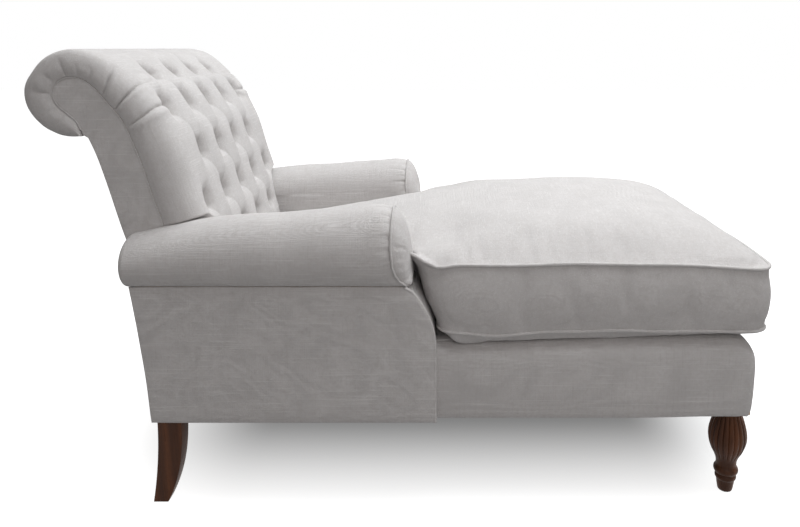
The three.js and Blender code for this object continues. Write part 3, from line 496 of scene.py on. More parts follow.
def filled(made, seams, cell, reach, air, slack):
    """Lets air fill a padded piece as loose cloth that is held along its seams."""
    scene = bpy.context.scene
    even = made.modifiers.new("even_cells", "REMESH")
    even.mode = "VOXEL"
    even.voxel_size = cell * MILLIMETRE
    even.use_smooth_shade = True
    made.data = worked_out(made)
    made.modifiers.clear()
    mesh = made.data
    tree = KDTree(len(seams))
    for i, spot in enumerate(seams):
        tree.insert(TO_FRAME @ Vector(spot), i)
    tree.balance()
    held = made.vertex_groups.new(name="held")
    for v in mesh.vertices:
        seam, _, away = tree.find(v.co)
        free = smoothstep(away / MILLIMETRE, cell * HELD_WITHIN, cell * FREE_BEYOND)
        grip = float(1 - free)
        held.add([v.index], grip, "REPLACE")
        v.co = v.co.lerp(seam, DRAWN_TO_SEAM * grip)
    start = np.array([v.co for v in mesh.vertices])
    cloth = made.modifiers.new("air", "CLOTH")
    cloth.settings.quality = 4
    cloth.settings.use_pressure = True
    cloth.settings.uniform_pressure_force = air
    cloth.settings.vertex_group_mass = "held"
    cloth.settings.effector_weights.gravity = 0
    cloth.settings.shrink_min = -slack
    cloth.point_cache.frame_end = FILLING_STEPS
    for step in range(1, FILLING_STEPS + 1):
        scene.frame_set(step)
    blown = worked_out(made)
    moved = np.array([v.co for v in blown.vertices]) - start
    bpy.data.meshes.remove(blown)
    made.modifiers.clear()
    made.vertex_groups.clear()
    scene.frame_set(1)
    length = np.linalg.norm(moved, axis=1, keepdims=True) / MILLIMETRE + 1e-6
    moved *= reach * np.tanh(length / reach) / length
    for v, spot in zip(mesh.vertices, start + moved):
        v.co = spot
    finer = made.modifiers.new("finer", "SUBSURF")
    finer.levels = finer.render_levels = 1
    made.data = worked_out(made)
    made.modifiers.clear()
    made.data.shade_smooth()


# Finishes

class Value:
    """What comes out of a node, with the usual sums on it."""

    def __init__(self, finish, socket):
        self.finish = finish
        self.socket = socket

    def joined(self, operation, first, second):
        """What one sum makes of two values."""
        return self.finish.node("ShaderNodeMath", {"operation": operation}, {0: first, 1: second})

    def __add__(self, other):
        return self.joined("ADD", self, other)

    def __sub__(self, other):
        return self.joined("SUBTRACT", self, other)

    def __rsub__(self, other):
        return self.joined("SUBTRACT", other, self)

    def __mul__(self, other):
        return self.joined("MULTIPLY", self, other)

    def __pow__(self, other):
        return self.joined("POWER", self, other)

    __radd__ = __add__
    __rmul__ = __mul__


class Finish:
    """A material and the nodes that make it."""

    def __init__(self, name, world=None):
        self.material = world or bpy.data.materials.new(name)
        self.material.use_nodes = True
        self.tree = self.material.node_tree
        self.tree.nodes.clear()

    def node(self, kind, settings=None, values=None, output=0):
        """A new node with its settings and inputs, as the value of one of its outputs."""
        made = self.tree.nodes.new(kind)
        for key, value in (settings or {}).items():
            setattr(made, key, value)
        for key, value in (values or {}).items():
            if isinstance(value, Value):
                self.tree.links.new(value.socket, made.inputs[key])
            else:
                made.inputs[key].default_value = value
        return Value(self, made.outputs[output]) if len(made.outputs) else None

    def place(self):
        """The place on the piece, in metres."""
        return self.node("ShaderNodeTexCoord", output="Object")

    def axes(self, place):
        """The three parts of a place, each as a value of its own."""
        split = self.node("ShaderNodeSeparateXYZ", {}, {"Vector": place})
        return [Value(self, socket) for socket in split.socket.node.outputs]

    def weave(self, place, pitch):
        """Threads that cross at one pitch, whichever way the cloth faces."""
        turns = 2 * math.pi / pitch
        x, y, z = [
            self.node("ShaderNodeMath", {"operation": "SINE"}, {0: axis * turns})
            for axis in self.axes(place)
        ]
        return x * y + y * z + z * x

    def grain(self, place, stretch, shift, detail, roughness=0.5):
        """Noise from zero to one, with its grains stretched along the room's axes."""
        turned = self.node(
            "ShaderNodeMapping", {}, {"Vector": place, "Scale": stretch, "Location": (shift,) * 3}
        )
        return self.node(
            "ShaderNodeTexNoise", {},
            {"Vector": turned, "Scale": 1.0, "Detail": detail, "Roughness": roughness},
        )

    def ramp(self, value, low, high):
        """Zero below low and one above high."""
        return self.node(
            "ShaderNodeMapRange", {"interpolation_type": "SMOOTHSTEP"},
            {"Value": value, "From Min": low, "From Max": high},
        )

    def mix(self, factor, first, second):
        """The first colour where the factor is zero and the second where it is one."""
        return self.node(
            "ShaderNodeMix", {"data_type": "RGBA"}, {0: factor, 6: first, 7: second}, output=2
        )

    def surface(self, colour, roughness, height, depth, **fixed):
        """The finished material, with a fine relief of a depth in metres."""
        values = {"Base Color": colour, "Roughness": roughness}
        values.update({key.replace("_", " "): value for key, value in fixed.items()})
        values["Normal"] = self.node(
            "ShaderNodeBump", {}, {"Height": height, "Strength": 1.0, "Distance": depth}
        )
        shader = self.node("ShaderNodeBsdfPrincipled", {}, values)
        self.node("ShaderNodeOutputMaterial", {}, {"Surface": shader})
        return self.material


# Colours as red, green and blue, from nothing to one
LINEN = (0.565, 0.545, 0.538)
LINEN_WORN = (0.545, 0.515, 0.5)
LINEN_SHADED = (0.485, 0.46, 0.45)
LINEN_SLUB = (0.655, 0.64, 0.63)
WALNUT = (0.15, 0.056, 0.024)
WALNUT_DARK = (0.05, 0.018, 0.008)
BEECH = (0.62, 0.42, 0.24)
BEECH_DARK = (0.45, 0.28, 0.15)
JUTE = (0.2, 0.14, 0.09)
JUTE_DARK = (0.1, 0.065, 0.04)
LINING = (0.045, 0.045, 0.045)
LINING_DARK = (0.016, 0.016, 0.016)
ZINC = (0.6, 0.6, 0.6)
ZINC_DARK = (0.42, 0.43, 0.45)

# From one thread to the next, in metres
LINEN_THREAD = 0.0013
JUTE_THREAD = 0.0024


def shade(colour, factor=1.0):
    """A colour made lighter or darker, as a node takes it."""
    return (*[c * factor for c in colour], 1.0)


def stretched(run, along, across):
    """How fine a grain is on each axis, where it runs along one of them."""
    return [along if axis == run else across for axis in "XYZ"]


def linen(name, run):
    """Plain woven linen whose slub threads run along one axis of the room."""
    f = Finish(name)
    place = f.place()
    long, fine = 9.0, 420.0
    slubs = f.grain(place, stretched(run, long, fine), 3.1, 1.0)
    cross = f.grain(place, stretched(run, fine, 14.0 if run == "Y" else long), 7.7, 1.0)
    patches = f.grain(place, (16.0,) * 3, 1.3, 3.0, 0.6)
    mottle = f.grain(place, (130.0,) * 3, 5.9, 2.0, 0.6)
    weave = f.weave(place, LINEN_THREAD)
    light = f.ramp(slubs, 0.56, 0.74)
    dark = f.ramp(cross, 0.58, 0.78)
    base = f.mix(f.ramp(patches, 0.3, 0.7), shade(LINEN, 0.955), shade(LINEN, 1.03))
    worn = f.mix(f.ramp(mottle, 0.35, 0.7) * 0.5, base, shade(LINEN_WORN, 0.93))
    crossed = f.mix(dark * 0.3, worn, shade(LINEN_SHADED, 0.9))
    colour = f.mix(light * 0.42, crossed, shade(LINEN_SLUB, 1.05))
    height = weave * 0.16 + slubs * 0.9 + cross * 0.55 + mottle * 0.25
    rough = 0.94 - light * 0.08
    return f.surface(
        colour, rough, height, 0.0007, Sheen_Weight=0.12, Sheen_Roughness=0.6,
        Specular_IOR_Level=0.22,
    )


def timber(name, run, colour, dark, darkness, roughness):
    """Wood with its grain along one axis, and how dark its pores are."""
    f = Finish(name)
    place = f.place()
    stretch = stretched(run, 5.0, 90.0)
    pores = f.grain(place, [s * 4 for s in stretch], 2.2, 3.0, 0.65)
    bands = f.grain(place, [s * 0.35 for s in stretch], 6.4, 4.0, 0.6)
    cloud = f.grain(place, (22.0,) * 3, 9.1, 2.0)
    tone = f.mix(f.ramp(bands, 0.32, 0.68), shade(dark), shade(colour))
    stained = f.mix(f.ramp(cloud, 0.35, 0.7) * 0.35, tone, shade(dark, 0.8))
    final = f.mix(f.ramp(pores, 0.58, 0.72) * darkness, stained, shade(dark, 0.45))
    rough = roughness + f.ramp(pores, 0.5, 0.75) * 0.18 + cloud * 0.08
    height = bands * 0.3 - f.ramp(pores, 0.55, 0.75) * 0.5
    return f.surface(final, rough, height, 0.0003, Specular_IOR_Level=0.14)


def webbing(name):
    """Coarse woven jute."""
    f = Finish(name)
    weave = f.weave(f.place(), JUTE_THREAD)
    colour = f.mix(f.ramp(weave, -0.4, 0.6), shade(JUTE_DARK), shade(JUTE))
    return f.surface(colour, 0.9 - f.ramp(weave, 0, 1) * 0.08, weave, 0.0006)


def lining(name):
    """Thin black cloth with a short fuzz."""
    f = Finish(name)
    place = f.place()
    fuzz = f.grain(place, (900.0,) * 3, 0.4, 2.0)
    clouds = f.grain(place, (40.0,) * 3, 4.4, 2.0)
    tone = f.ramp(fuzz, 0.3, 0.7) * 0.6 + clouds * 0.3
    colour = f.mix(tone, shade(LINING_DARK), shade(LINING))
    return f.surface(colour, 0.88 + fuzz * 0.1, fuzz, 0.0004)


def zinc(name):
    """Plated metal with its spangle and turning marks."""
    f = Finish(name)
    place = f.place()
    spangle = f.grain(place, (500.0,) * 3, 0.7, 3.0)
    turned = f.grain(place, (40.0, 40.0, 1600.0), 1.7, 1.0)
    colour = f.mix(f.ramp(spangle, 0.3, 0.7), shade(ZINC_DARK), shade(ZINC))
    return f.surface(colour, 0.3 + spangle * 0.25, turned, 0.0001, Metallic=1.0)


linen_along = linen("linen_slubs_along", "Y")
linen_across = linen("linen_slubs_across", "X")
walnut = timber("walnut_stained", "Z", WALNUT, WALNUT_DARK, darkness=0.7, roughness=0.4)
beech_across, beech_along, beech_upright = [
    timber(f"beech_{way}", run, BEECH, BEECH_DARK, darkness=0.35, roughness=0.6)
    for way, run in (("across", "X"), ("along", "Y"), ("upright", "Z"))
]
webbing_jute = webbing("webbing_woven")
lining_black = lining("lining_black")
zinc_plated = zinc("zinc_plated")


# Base

def deck(y):
    """The height of the deck, which rises from the arms' fronts to the foot end."""
    return DECK_REAR + (DECK_FRONT - DECK_REAR) * np.maximum(y / BASE_FRONT, 0)


def base_cover():
    """The padded border over the rails, swept round the foot end."""
    section = Line(BORDER_SECTION)
    seen, hidden, stations = 30, 4, 170
    flank, corner = 0.42, 0.5

    def place(u, v):
        inset, level = section.at(np.clip(u * (seen + hidden) / seen, 0, 1)).T
        step = (v - 0.5) * 2
        side = np.sign(step + 1e-9)
        t = np.abs(step)
        outward = np.clip(t / flank, 0, 1)
        angle = np.clip((t - flank) / (corner - flank), 0, 1) * math.pi / 2
        away = np.clip((t - corner) / (1 - corner), 0, 1)
        turn_y = BASE_FRONT + inset + BASE_CORNER
        x = outward * (BASE_HALF - inset - BASE_CORNER) + BASE_CORNER * np.sin(angle)
        y = turn_y - BASE_CORNER * np.cos(angle) + away * (-FIT - turn_y)
        z = COVER_BOTTOM + level * (deck(y) - COVER_BOTTOM)
        ring = np.rint(u * (seen + hidden)).astype(int) - seen
        z = np.where((ring == 1) | (ring == 2), RAIL_TOP + FIT, z)
        z = np.where(ring >= 3, COVER_BOTTOM, z)
        tuck = np.where(ring >= 2, BORDER_PADDING, BORDER_TUCK)
        tuck = np.where(ring == hidden, 3, tuck)
        moved = np.where(ring > 0, tuck - inset, 0)
        return np.stack([side * (x - moved * outward), y + moved * (1 - away), z], -1)

    def settle(spots):
        hem = 1 - smoothstep(spots[:, 2], COVER_BOTTOM, COVER_BOTTOM + 60)
        skin = np.minimum(BASE_HALF - np.abs(spots[:, 0]), spots[:, 1] - BASE_FRONT)
        hem *= 1 - smoothstep(skin, 4, BORDER_PADDING - FIT)
        spots[:, 2] += HEM_RISE * hem * smoothstep(-spots[:, 1], -BASE_FRONT * 0.6, -BASE_FRONT)
        padded = smoothstep(spots[:, 2], 215, 250) * (1 - smoothstep(spots[:, 2], 330, 372))
        inset = np.maximum(spots[:, 1] - BASE_FRONT, 0)
        spots[:, 2] -= TOP_ROUNDING * np.exp(-inset / 20) * smoothstep(spots[:, 2], 290, 352)
        swell = ripple(spots, 260, 11) * 0.9 * padded
        on_side = np.abs(spots[:, 0]) > BASE_HALF - 6
        spots[:, 0] += np.where(on_side, np.sign(spots[:, 0]) * swell, 0)
        spots[:, 1] -= np.where(~on_side & (spots[:, 1] < BASE_FRONT + 5), swell, 0)
        return spots

    bm = laid(seen + hidden, stations, place, tube=True)
    reshape(bm, settle)
    nodes = ["base_border_front", "base_border_left", "base_border_right"]
    piece("base_cover", bm, linen_along, nodes=nodes)


def platform():
    """The deck that the loose cushion lies on."""
    edge, neck = PLATFORM_HALF, ARM_PAD_BACK - FIT
    front, rear, corner = PLATFORM_FRONT, PLATFORM_REAR, PLATFORM_CORNER
    outline = [
        (edge, -FIT), (neck, -FIT), (neck, rear), (-neck, rear), (-neck, -FIT), (-edge, -FIT),
        (-edge, front + corner), (-edge + corner, front), (edge - corner, front),
        (edge, front + corner),
    ]
    bm = slab(outline[::-1], "Z", PLATFORM_BOTTOM, DECK_REAR, cell=24, rounding=5)

    def slope(spots):
        top = smoothstep(spots[:, 2], 345, DECK_REAR)
        spots[:, 2] += top * (deck(spots[:, 1]) - DECK_REAR - 0.4 + ripple(spots, 190, 5) * 0.4)
        return spots

    reshape(bm, slope)
    piece("seat_deck", bm, linen_across, nodes=["seat_platform"])


# Arms

# The roll's cover starts at the top of the outside arm, this far below the roll's middle
ROLL_DROP = math.sqrt(1 - ((ARM_OUTER - ROLL_CENTRE) / ROLL_HALF) ** 2)
ROLL_START = -math.asin(ROLL_DROP)


def roll_section(y):
    """The centre height and radius of the arm's roll at a place along it."""
    share = np.clip((y - ROLL_FRONT) / (ROLL_REAR - ROLL_FRONT), 0, 1)
    radius = ROLL_HEIGHT * eased(ROLL_HEIGHT_SHARES, share, 0.12) / (1 + ROLL_DROP)
    return ARM_TOP + FIT + radius * ROLL_DROP, radius


def back_line(z):
    """The place of the back frame's front face at a height."""
    line = front_edge.beside(np.linspace(0, 0.62, 80), np.full(80, PAD_GAP))
    return np.interp(z, line[:, 1], line[:, 0])


def face_seam(z):
    """How far back the seam between the roll and its front stands at a height."""
    heights, places = zip(*FACE_SEAM)
    return np.interp(z, heights, places)


def arm_roll():
    """The padded roll with its gathers, and the inside arm that runs down from it."""
    draw = np.random.RandomState(3)
    gathers = [
        (angle, draw.uniform(0.8, 3.2), draw.uniform(8, 24))
        for angle in np.sort(draw.uniform(ROLL_START + 0.1, math.pi, ROLL_GATHERS))
    ]
    arc_cells, tail_cells = 150, 28
    cells = arc_cells + tail_cells
    length_cells, end_cells = 118, 8
    floor = DECK_REAR + FIT

    def place(u, v):
        step = v * (length_cells + end_cells)
        body = np.clip(step / length_cells, 0, 1) ** 1.35
        turn = np.clip((step - length_cells) / end_cells, 0, 1) * math.pi / 2
        y = ROLL_FRONT + body * (ROLL_REAR - ROLL_END_DOME - ROLL_FRONT)
        y = y + ROLL_END_DOME * np.sin(turn)
        shrink = 1 - ROLL_END_SHRINK * (1 - np.cos(turn))
        centre, radius = roll_section(y)
        around = u * cells
        angle = ROLL_START + np.clip(around / arc_cells, 0, 1) * (math.pi - ROLL_START)
        front = y - ROLL_FRONT
        wave = np.zeros_like(y)
        for where, depth, reach in gathers:
            drift = angle - where - 0.0015 * front * math.sin(where * 7)
            wave -= depth * crease(drift, 0.03) * np.exp(-front / reach)
        spots = np.stack([angle * 100, y, centre], -1)
        full = 1.1 * ripple(spots, 190, 8) * smoothstep(front, 0, 60)
        tight = -4.5 * np.exp(-front / 9) + 1.5 * hump(front - 30, 22)
        grow = (wave + full + tight) * smoothstep(angle, ROLL_START, ROLL_START + 0.35)
        tuck = 6 * np.exp(-(angle - ROLL_START) / 0.09)
        x = ROLL_CENTRE + (ROLL_HALF + grow) * np.cos(angle) - tuck
        z = centre + (radius + grow) * np.sin(angle)
        tail = np.clip((around - arc_cells) / tail_cells, 0, 1)
        down, over, up, home = [
            np.clip((tail - start) / (end - start), 0, 1)
            for start, end in zip(ROLL_TAIL, ROLL_TAIL[1:])
        ]
        bow = 3 * np.sin(np.pi * down) * (down < 1)
        x = np.where(tail > 0, ARM_INNER - bow + over * (ARM_PAD_BACK - ARM_INNER), x)
        x = np.where(home > 0, ARM_PAD_BACK + home * (ARM_OUTER - 6 - ARM_PAD_BACK), x)
        tail_z = centre + down * (floor - centre) + up * (ARM_TOP + FIT - floor)
        z = np.where(tail > 0, tail_z, z)
        middle = centre + radius * 0.2
        x = ROLL_CENTRE + (x - ROLL_CENTRE) * shrink
        z = middle + (z - middle) * shrink
        scooped = np.interp(z, scoop.points[:, 1], scoop.points[:, 0]) + SCOOP_COVER
        seam = np.where(z > ARM_TOP, face_seam(z), np.minimum(scooped, ROLL_FRONT))
        y = y + (seam - ROLL_FRONT) * np.exp(-front / 22)
        beyond = y > back_line(z)
        x = np.where(beyond, np.maximum(x, BACK_HALF + FIT), x)
        z = np.where(beyond, np.maximum(z, ARM_TOP + FIT), z)
        return np.stack([x, y, z], -1)

    bm = laid(cells, length_cells + end_cells, place, tube=True)
    for cover in pair("arm_roll_cover", bm, linen_along, ["arm_roll"], LEFT_SETTLED):
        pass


def roll_outline():
    """The outline of the roll's front, from the outer crease over the top to the seat side."""
    centre, radius = roll_section(np.array([ROLL_FRONT]))
    angle = np.linspace(ROLL_START, math.pi, 64)
    x = ROLL_CENTRE + (ROLL_HALF - 4) * np.cos(angle)
    z = centre + (radius - 4) * np.sin(angle)
    base = ARM_TOP + 0.8
    corner = [(ARM_INNER + 4, base + 20), (ARM_INNER + 7, base + 5), (ARM_INNER + 18, base)]
    bottom = [(place, base) for place in np.linspace(ARM_INNER + 40, ARM_OUTER - 5, 14)]
    return np.vstack([np.stack([x, z], -1), corner, bottom])


def arm_facing():
    """The domed front of the roll, with its piped seam."""
    outline = roll_outline()
    line = Line(np.vstack([outline, outline[:1]]), 12)
    centre = np.array([ROLL_CENTRE - 2, ARM_TOP + 44.0])
    draw = np.random.RandomState(9)
    where_tucked = np.sort(draw.uniform(0.02, 0.75, FACING_TUCKS))
    tucks = [(share, draw.uniform(0.8, 2.4)) for share in where_tucked]
    tucks.append((0.17, 6.0))

    def place(u, v):
        size = np.cos(np.minimum(v * 1.06, 1) * math.pi / 2)
        rim = line.at(u)
        x, z = (centre + (rim - centre) * size[:, None]).T
        upward = smoothstep(rim[:, 1], ARM_TOP + 30, ARM_TOP + 140)
        deep = FACING_DOME * (1 - size ** (3.0 - upward)) ** (0.5 + 0.12 * upward)
        for where, amount in tucks:
            deep = deep - amount * crease(u - where, 0.006) * size**4 * (size < 0.999)
        deep = deep + 0.5 * ripple(np.stack([x, z, u * 0], -1), 60, 4)
        seam = (face_seam(rim[:, 1]) - ROLL_FRONT) * size**3
        return np.stack([x, ROLL_FRONT - FIT - deep + seam, z], -1)

    dome = laid(150, 34, place, tube=True)
    rim = line.at(np.linspace(0, 1, 190)[:-1])
    grown = centre + (rim - centre) * 1.012
    path = [(x, face_seam(z) - 2.0, z) for x, z in grown]
    welt = cord_round(path, DOME_CORD, closed=True)
    faces = pair("arm_front_dome", dome, linen_across, ["arm_facing"], LEFT_SETTLED)
    pair("arm_dome_piping", welt, linen_across, settled=LEFT_SETTLED)


def arm_panels():
    """The outside arm with its piping, the scooped front and the rear of the arm."""
    rear = rear_edge.at(np.linspace(0, 1, 200))
    rear = rear[rear[:, 1] < ARM_TOP][::6]
    edge = scoop.at(np.linspace(0, 1, 26))
    outline = [(0, COVER_BOTTOM), *edge, (rear[-1][0] + 2, ARM_TOP), *rear[::-1]]
    bm = slab(outline, "X", ARM_BOARD_OUTER + FIT, ARM_OUTER, cell=20, rounding=2.6)

    def settle(spots):
        swell = 0.9 * ripple(spots, 230, 21) + 0.3 * ripple(spots, 60, 22)
        low = np.exp(-(spots[:, 2] - COVER_BOTTOM) / 9)
        high = np.exp(-(ARM_TOP - spots[:, 2]) / 7)
        share = (spots[:, 0] - ARM_BOARD_OUTER - FIT) / (ARM_OUTER - ARM_BOARD_OUTER - FIT)
        spots[:, 0] += (swell - 1.4 * low - 4.6 * high) * share
        return spots

    reshape(bm, settle)
    pair("arm_outside_cover", bm, linen_along, ["arm_outside_panel"])
    run = [(0.5, z) for z in np.linspace(COVER_BOTTOM + 1, SCOOP_FOOT - 4, 30)]
    run += [tuple(p) for p in scoop.at(np.linspace(0.01, 0.985, 60))]
    path = [(ARM_OUTER - 3.6, y + 0.6, z) for y, z in run]
    pair("arm_seam_piping", cord_round(path, ARM_CORD), linen_along)
    straight = SCOOP_FOOT - COVER_BOTTOM
    foot = straight / (straight + scoop.length)
    over_rail = max(DECK_REAR - SCOOP_TUCK, RAIL_TOP + FIT)

    def front(u, v):
        below = np.clip(v / foot, 0, 1)
        y, z = scoop.at(np.clip((v - foot) / (1 - foot), 0, 1)).T
        z = z - (1 - below) * straight
        inner = np.where(z > over_rail, ARM_INNER, BASE_HALF + FIT)
        x = inner + u * (ARM_BOARD_OUTER - inner)
        y = y + 1.2 - 1.2 * np.cos((u - 0.5) * math.pi)
        return np.stack([x, y, np.minimum(z, ARM_TOP - FIT)], -1)

    sheet = thickened(26, 90, front, PANEL_CLOTH)
    pair("arm_scoop_cover", sheet, linen_across, ["arm_front_panel"])
    top = rear_edge.shares[np.argmax(rear_edge.points[:, 1] >= ARM_TOP)]

    def behind(u, v):
        y, z = rear_edge.at(v * top).T
        x = BACK_HALF + FIT + u * (ARM_BOARD_OUTER - BACK_HALF - FIT)
        return np.stack([x, y, np.minimum(z, ARM_TOP)], -1)

    strip = thickened(12, 40, behind, PANEL_CLOTH)
    pair("arm_rear_cover", strip, linen_along, ["arm_rear_panel"])


# Back

def row_place(share):
    """Where a share of the pad lies, counted in rows of buttons."""
    rows = np.arange(len(BUTTON_ROWS), dtype=float)
    step = (BUTTON_ROWS[-1] - BUTTON_ROWS[0]) / (len(BUTTON_ROWS) - 1)
    shares = [0, *BUTTON_ROWS, 1]
    places = [-BUTTON_ROWS[0] / step, *rows, rows[-1] + (1 - BUTTON_ROWS[-1]) / step]
    return np.interp(share, shares, places)


def button_columns(row):
    """The places of a row's buttons, in steps of their pitch."""
    return (-1.5, -0.5, 0.5, 1.5) if row % 2 == 0 else (-2, -1, 0, 1, 2)


BUTTONS = [(p * BUTTON_PITCH, row) for row in range(len(BUTTON_ROWS)) for p in button_columns(row)]


def drawn_in(x, share):
    """How far the cover is drawn in by the buttons and the folds between them."""
    row = row_place(share)
    last = len(BUTTON_ROWS) - 1
    in_row = np.clip(row, 0, last)
    edge = (1.5 + np.abs(np.sin(np.pi * in_row / 2)) / 2) * BUTTON_PITCH
    # The folds run along two slants, and each of them lies where its slant is a whole number
    left = x / BUTTON_PITCH + (in_row - 1) / 2
    right = x / BUTTON_PITCH - (in_row - 1) / 2
    puff = np.sqrt(np.abs(np.sin(np.pi * left)) * np.abs(np.sin(np.pi * right)))
    past = np.hypot(np.maximum(0, np.abs(x) - edge), np.abs(row - in_row) * ROW_PITCH)
    away = np.full(x.shape, 1e3)
    gathers = np.zeros_like(x)
    for i, (bx, brow) in enumerate(BUTTONS):
        aside, over = x - bx, (row - brow) * ROW_PITCH
        distance = np.hypot(aside, over)
        away = np.minimum(away, distance)
        star = 0.5 + 0.5 * np.cos(5 * np.arctan2(over, aside) + i * 2.4)
        gathers += GATHER_DEPTH * star**2 * hump(distance - 15, 10)
    to_fold = np.minimum(np.abs(left - np.rint(left)), np.abs(right - np.rint(right))) / FOLD_SLOPE
    uneven = 1 + 0.2 * ripple(np.stack([x, row * ROW_PITCH, x * 0], -1), 110, 17)
    valley = (VALLEY_REST + VALLEY_DEPTH * hump(away, VALLEY_WIDTH)) * (1 - puff) ** 1.4
    fold = FOLD_DEPTH * crease(to_fold, FOLD_WIDTH) * np.exp(-away / 22) * uneven
    hollow = HOLLOW_DEPTH * hump(away, HOLLOW_WIDTH)
    pocket = POCKET_DEPTH * hump(away, POCKET_WIDTH) + hollow + gathers
    total = valley * np.exp(-past / 22) + fold * np.exp(-past / 14) + pocket
    # Straight folds run from the lowest row to the seat and from the highest over the scroll
    below = np.clip(-row, 0, None) * ROW_PITCH
    above = np.clip(row - last, 0, None) * ROW_PITCH
    for column in button_columns(0):
        bx = column * BUTTON_PITCH
        down = SEAT_FOLD_DEPTH * crease(x - bx - 0.06 * below, SEAT_FOLD_WIDTH)
        down *= (below > 0) * np.exp(-below / SEAT_FOLD_LENGTH)
        over = SCROLL_FOLD_DEPTH * crease(x - bx * (1 + above / 900), SCROLL_FOLD_WIDTH)
        over *= (above > 0) * np.exp(-above / SCROLL_FOLD_LENGTH)
        total = total + down + over
    return total


def pad_section(v):
    """The inner and the outer line of the pad, at shares along it."""
    inner = front_edge.beside(v, np.full_like(v, PAD_GAP))
    outer = front_edge.beside(v, pad_thickness(v))
    tail = scroll_tail.at(np.clip((v - TAIL_START) / (1 - TAIL_START), 0, 1))
    return inner, np.where((v > TAIL_START)[:, None], tail, outer)


def side_limit(y, z):
    """Half the pad's width at a place, where the arms stand beside it."""
    centre, radius = roll_section(y)
    level = np.clip((z - centre) / radius, 0, 1)
    beside_arm = ROLL_CENTRE - ROLL_HALF * np.sqrt(1 - level**2) - 0.8
    over = smoothstep(z, centre + radius - 1, centre + radius + 5)
    return beside_arm + (BACK_HALF - beside_arm) * over


def side_pleats(across, share):
    """The pleats that gather the border at the side seam round the scroll."""
    depth = np.zeros_like(across)
    for start, end, reach, amount, width in PLEATS:
        t = np.clip(across / reach, 0, 1)
        offset = share - (start + (end - start) * t**1.4)
        fade = (1 - smoothstep(across, reach * 0.5, reach)) * (across < reach)
        depth += amount * crease(offset, width) * fade
        depth -= amount * 0.3 * hump(offset + 0.012, 0.009) * fade
    return depth


def back_cover():
    """The buttoned inside back, which runs over the scroll and swells past its side seams."""
    middle, side, rear, along = 150, 26, 8, 430
    cells = middle + 2 * side + rear

    def place(u, v):
        step = u * cells
        base = front_edge.beside(v, np.full_like(v, PAD_GAP + 30))
        half = side_limit(base[:, 0], base[:, 1])
        free = smoothstep(half, 300, 330)
        edge = half - 0.8 * free
        rim = PAD_RIM + (SCROLL_RIM - PAD_RIM) * smoothstep(v, 0.7, 0.8)
        rim = np.minimum(rim, half * 0.985)
        flat = np.clip(step - side, 0, middle) / middle * 2 - 1
        turn = np.where(step < side, -(1 - step / side), 0)
        turn = np.where(step > side + middle, (step - side - middle) / side, turn)
        turn = np.clip(turn, -1, 1) * math.pi / 2
        power = 2 + free
        out, up = np.abs(np.sin(turn)), np.maximum(np.cos(turn), 0)
        size = (out**power + up**power) ** (-1 / power)
        out, up = out * size, up * size
        swell = SIDE_SWELL * free * (1 - (1 - np.minimum(up / 0.4, 1)) ** 2) * out**2
        x = flat * rim + np.sign(turn) * (out * (edge - rim) + swell)
        inner, outer = pad_section(v)
        full = np.linalg.norm(outer - inner, axis=1)
        across = up * full * 0.9 + np.maximum(0, rim - np.abs(x)) * (turn == 0)
        pleats = side_pleats(across, v) * free
        hollow = 10 * smoothstep(np.abs(x), half - 26, half) * (1 - free)
        drawn = np.minimum(drawn_in(x, v) + hollow + pleats, full * MOST_DRAWN)
        x = x - np.sign(x) * pleats * 0.55 * out**2 * (np.abs(turn) < 1.5)
        reach = np.maximum(full * up - drawn * up**0.6, 0)
        reach = np.where(np.abs(turn) > 1.56, 0, reach)
        spot = inner + (outer - inner) * (reach / full)[:, None]
        behind = np.clip((step - middle - 2 * side) / rear, 0, 1)
        x = np.where(behind > 0, edge * (1 - 2 * behind), x)
        spot = np.where((behind > 0)[:, None], inner, spot)
        return np.stack([x, spot[:, 0], spot[:, 1]], -1)

    bm = laid(cells, along, place, tube=True)
    piece("back_cover", bm, linen_across, nodes=["back_pad"])


def back_buttons():
    """The covered buttons, each in the pocket that it draws in."""
    parts = []
    for x, row in BUTTONS:
        share = np.array([BUTTON_ROWS[row]])
        full = pad_thickness(share) - PAD_GAP
        drawn = np.minimum(drawn_in(np.array([float(x)]), share), full * MOST_DRAWN)
        y, z = front_edge.beside(share, PAD_GAP + full - drawn + 1.0)[0]
        run = front_edge.run(share)[0]
        turn = Matrix.Rotation(math.atan2(run[1], run[0]), 3, "X")
        bm = bmesh.new()
        bmesh.ops.create_uvsphere(bm, u_segments=20, v_segments=12, radius=BUTTON_RADIUS)
        bmesh.ops.scale(bm, vec=(1, 1, BUTTON_FLATNESS), verts=bm.verts)
        bmesh.ops.rotate(bm, cent=(0, 0, 0), matrix=turn, verts=bm.verts)
        bmesh.ops.translate(bm, vec=(x, y, z), verts=bm.verts)
        parts.append(bm)
    piece("back_buttons", joined(*parts), linen_across)


def back_facings():
    """The flat cloth-covered sides of the back and the seam beside them."""
    front = front_edge.at(np.linspace(0, 1, 260))
    rear = rear_edge.beside(np.linspace(0, 1, 60), np.full(60, 0.6))

    def clear(points):
        centre, radius = roll_section(points[:, 0])
        return points[(points[:, 1] > centre + radius + 0.6) | (points[:, 0] > ROLL_REAR + 2)]

    outline = np.vstack([clear(front), clear(rear)[::-1]])
    bm = slab(outline.tolist(), "X", FACING_INNER, BACK_HALF, cell=15, rounding=2.2)

    def settle(spots):
        spots[:, 0] += (0.5 * ripple(spots, 120, 14) - 0.3) * (spots[:, 0] > BACK_HALF - 0.8)
        return spots

    reshape(bm, settle)
    pair("back_side_cover", bm, linen_along, ["back_side_panel"])
    seam = clear(front_edge.beside(np.linspace(0.2, 0.985, 260), np.full(260, 0.6)))
    path = [(BACK_HALF - 0.9, y, z) for y, z in seam]
    pair("back_side_seam", cord_round(path, SIDE_CORD, sides=8), linen_along)


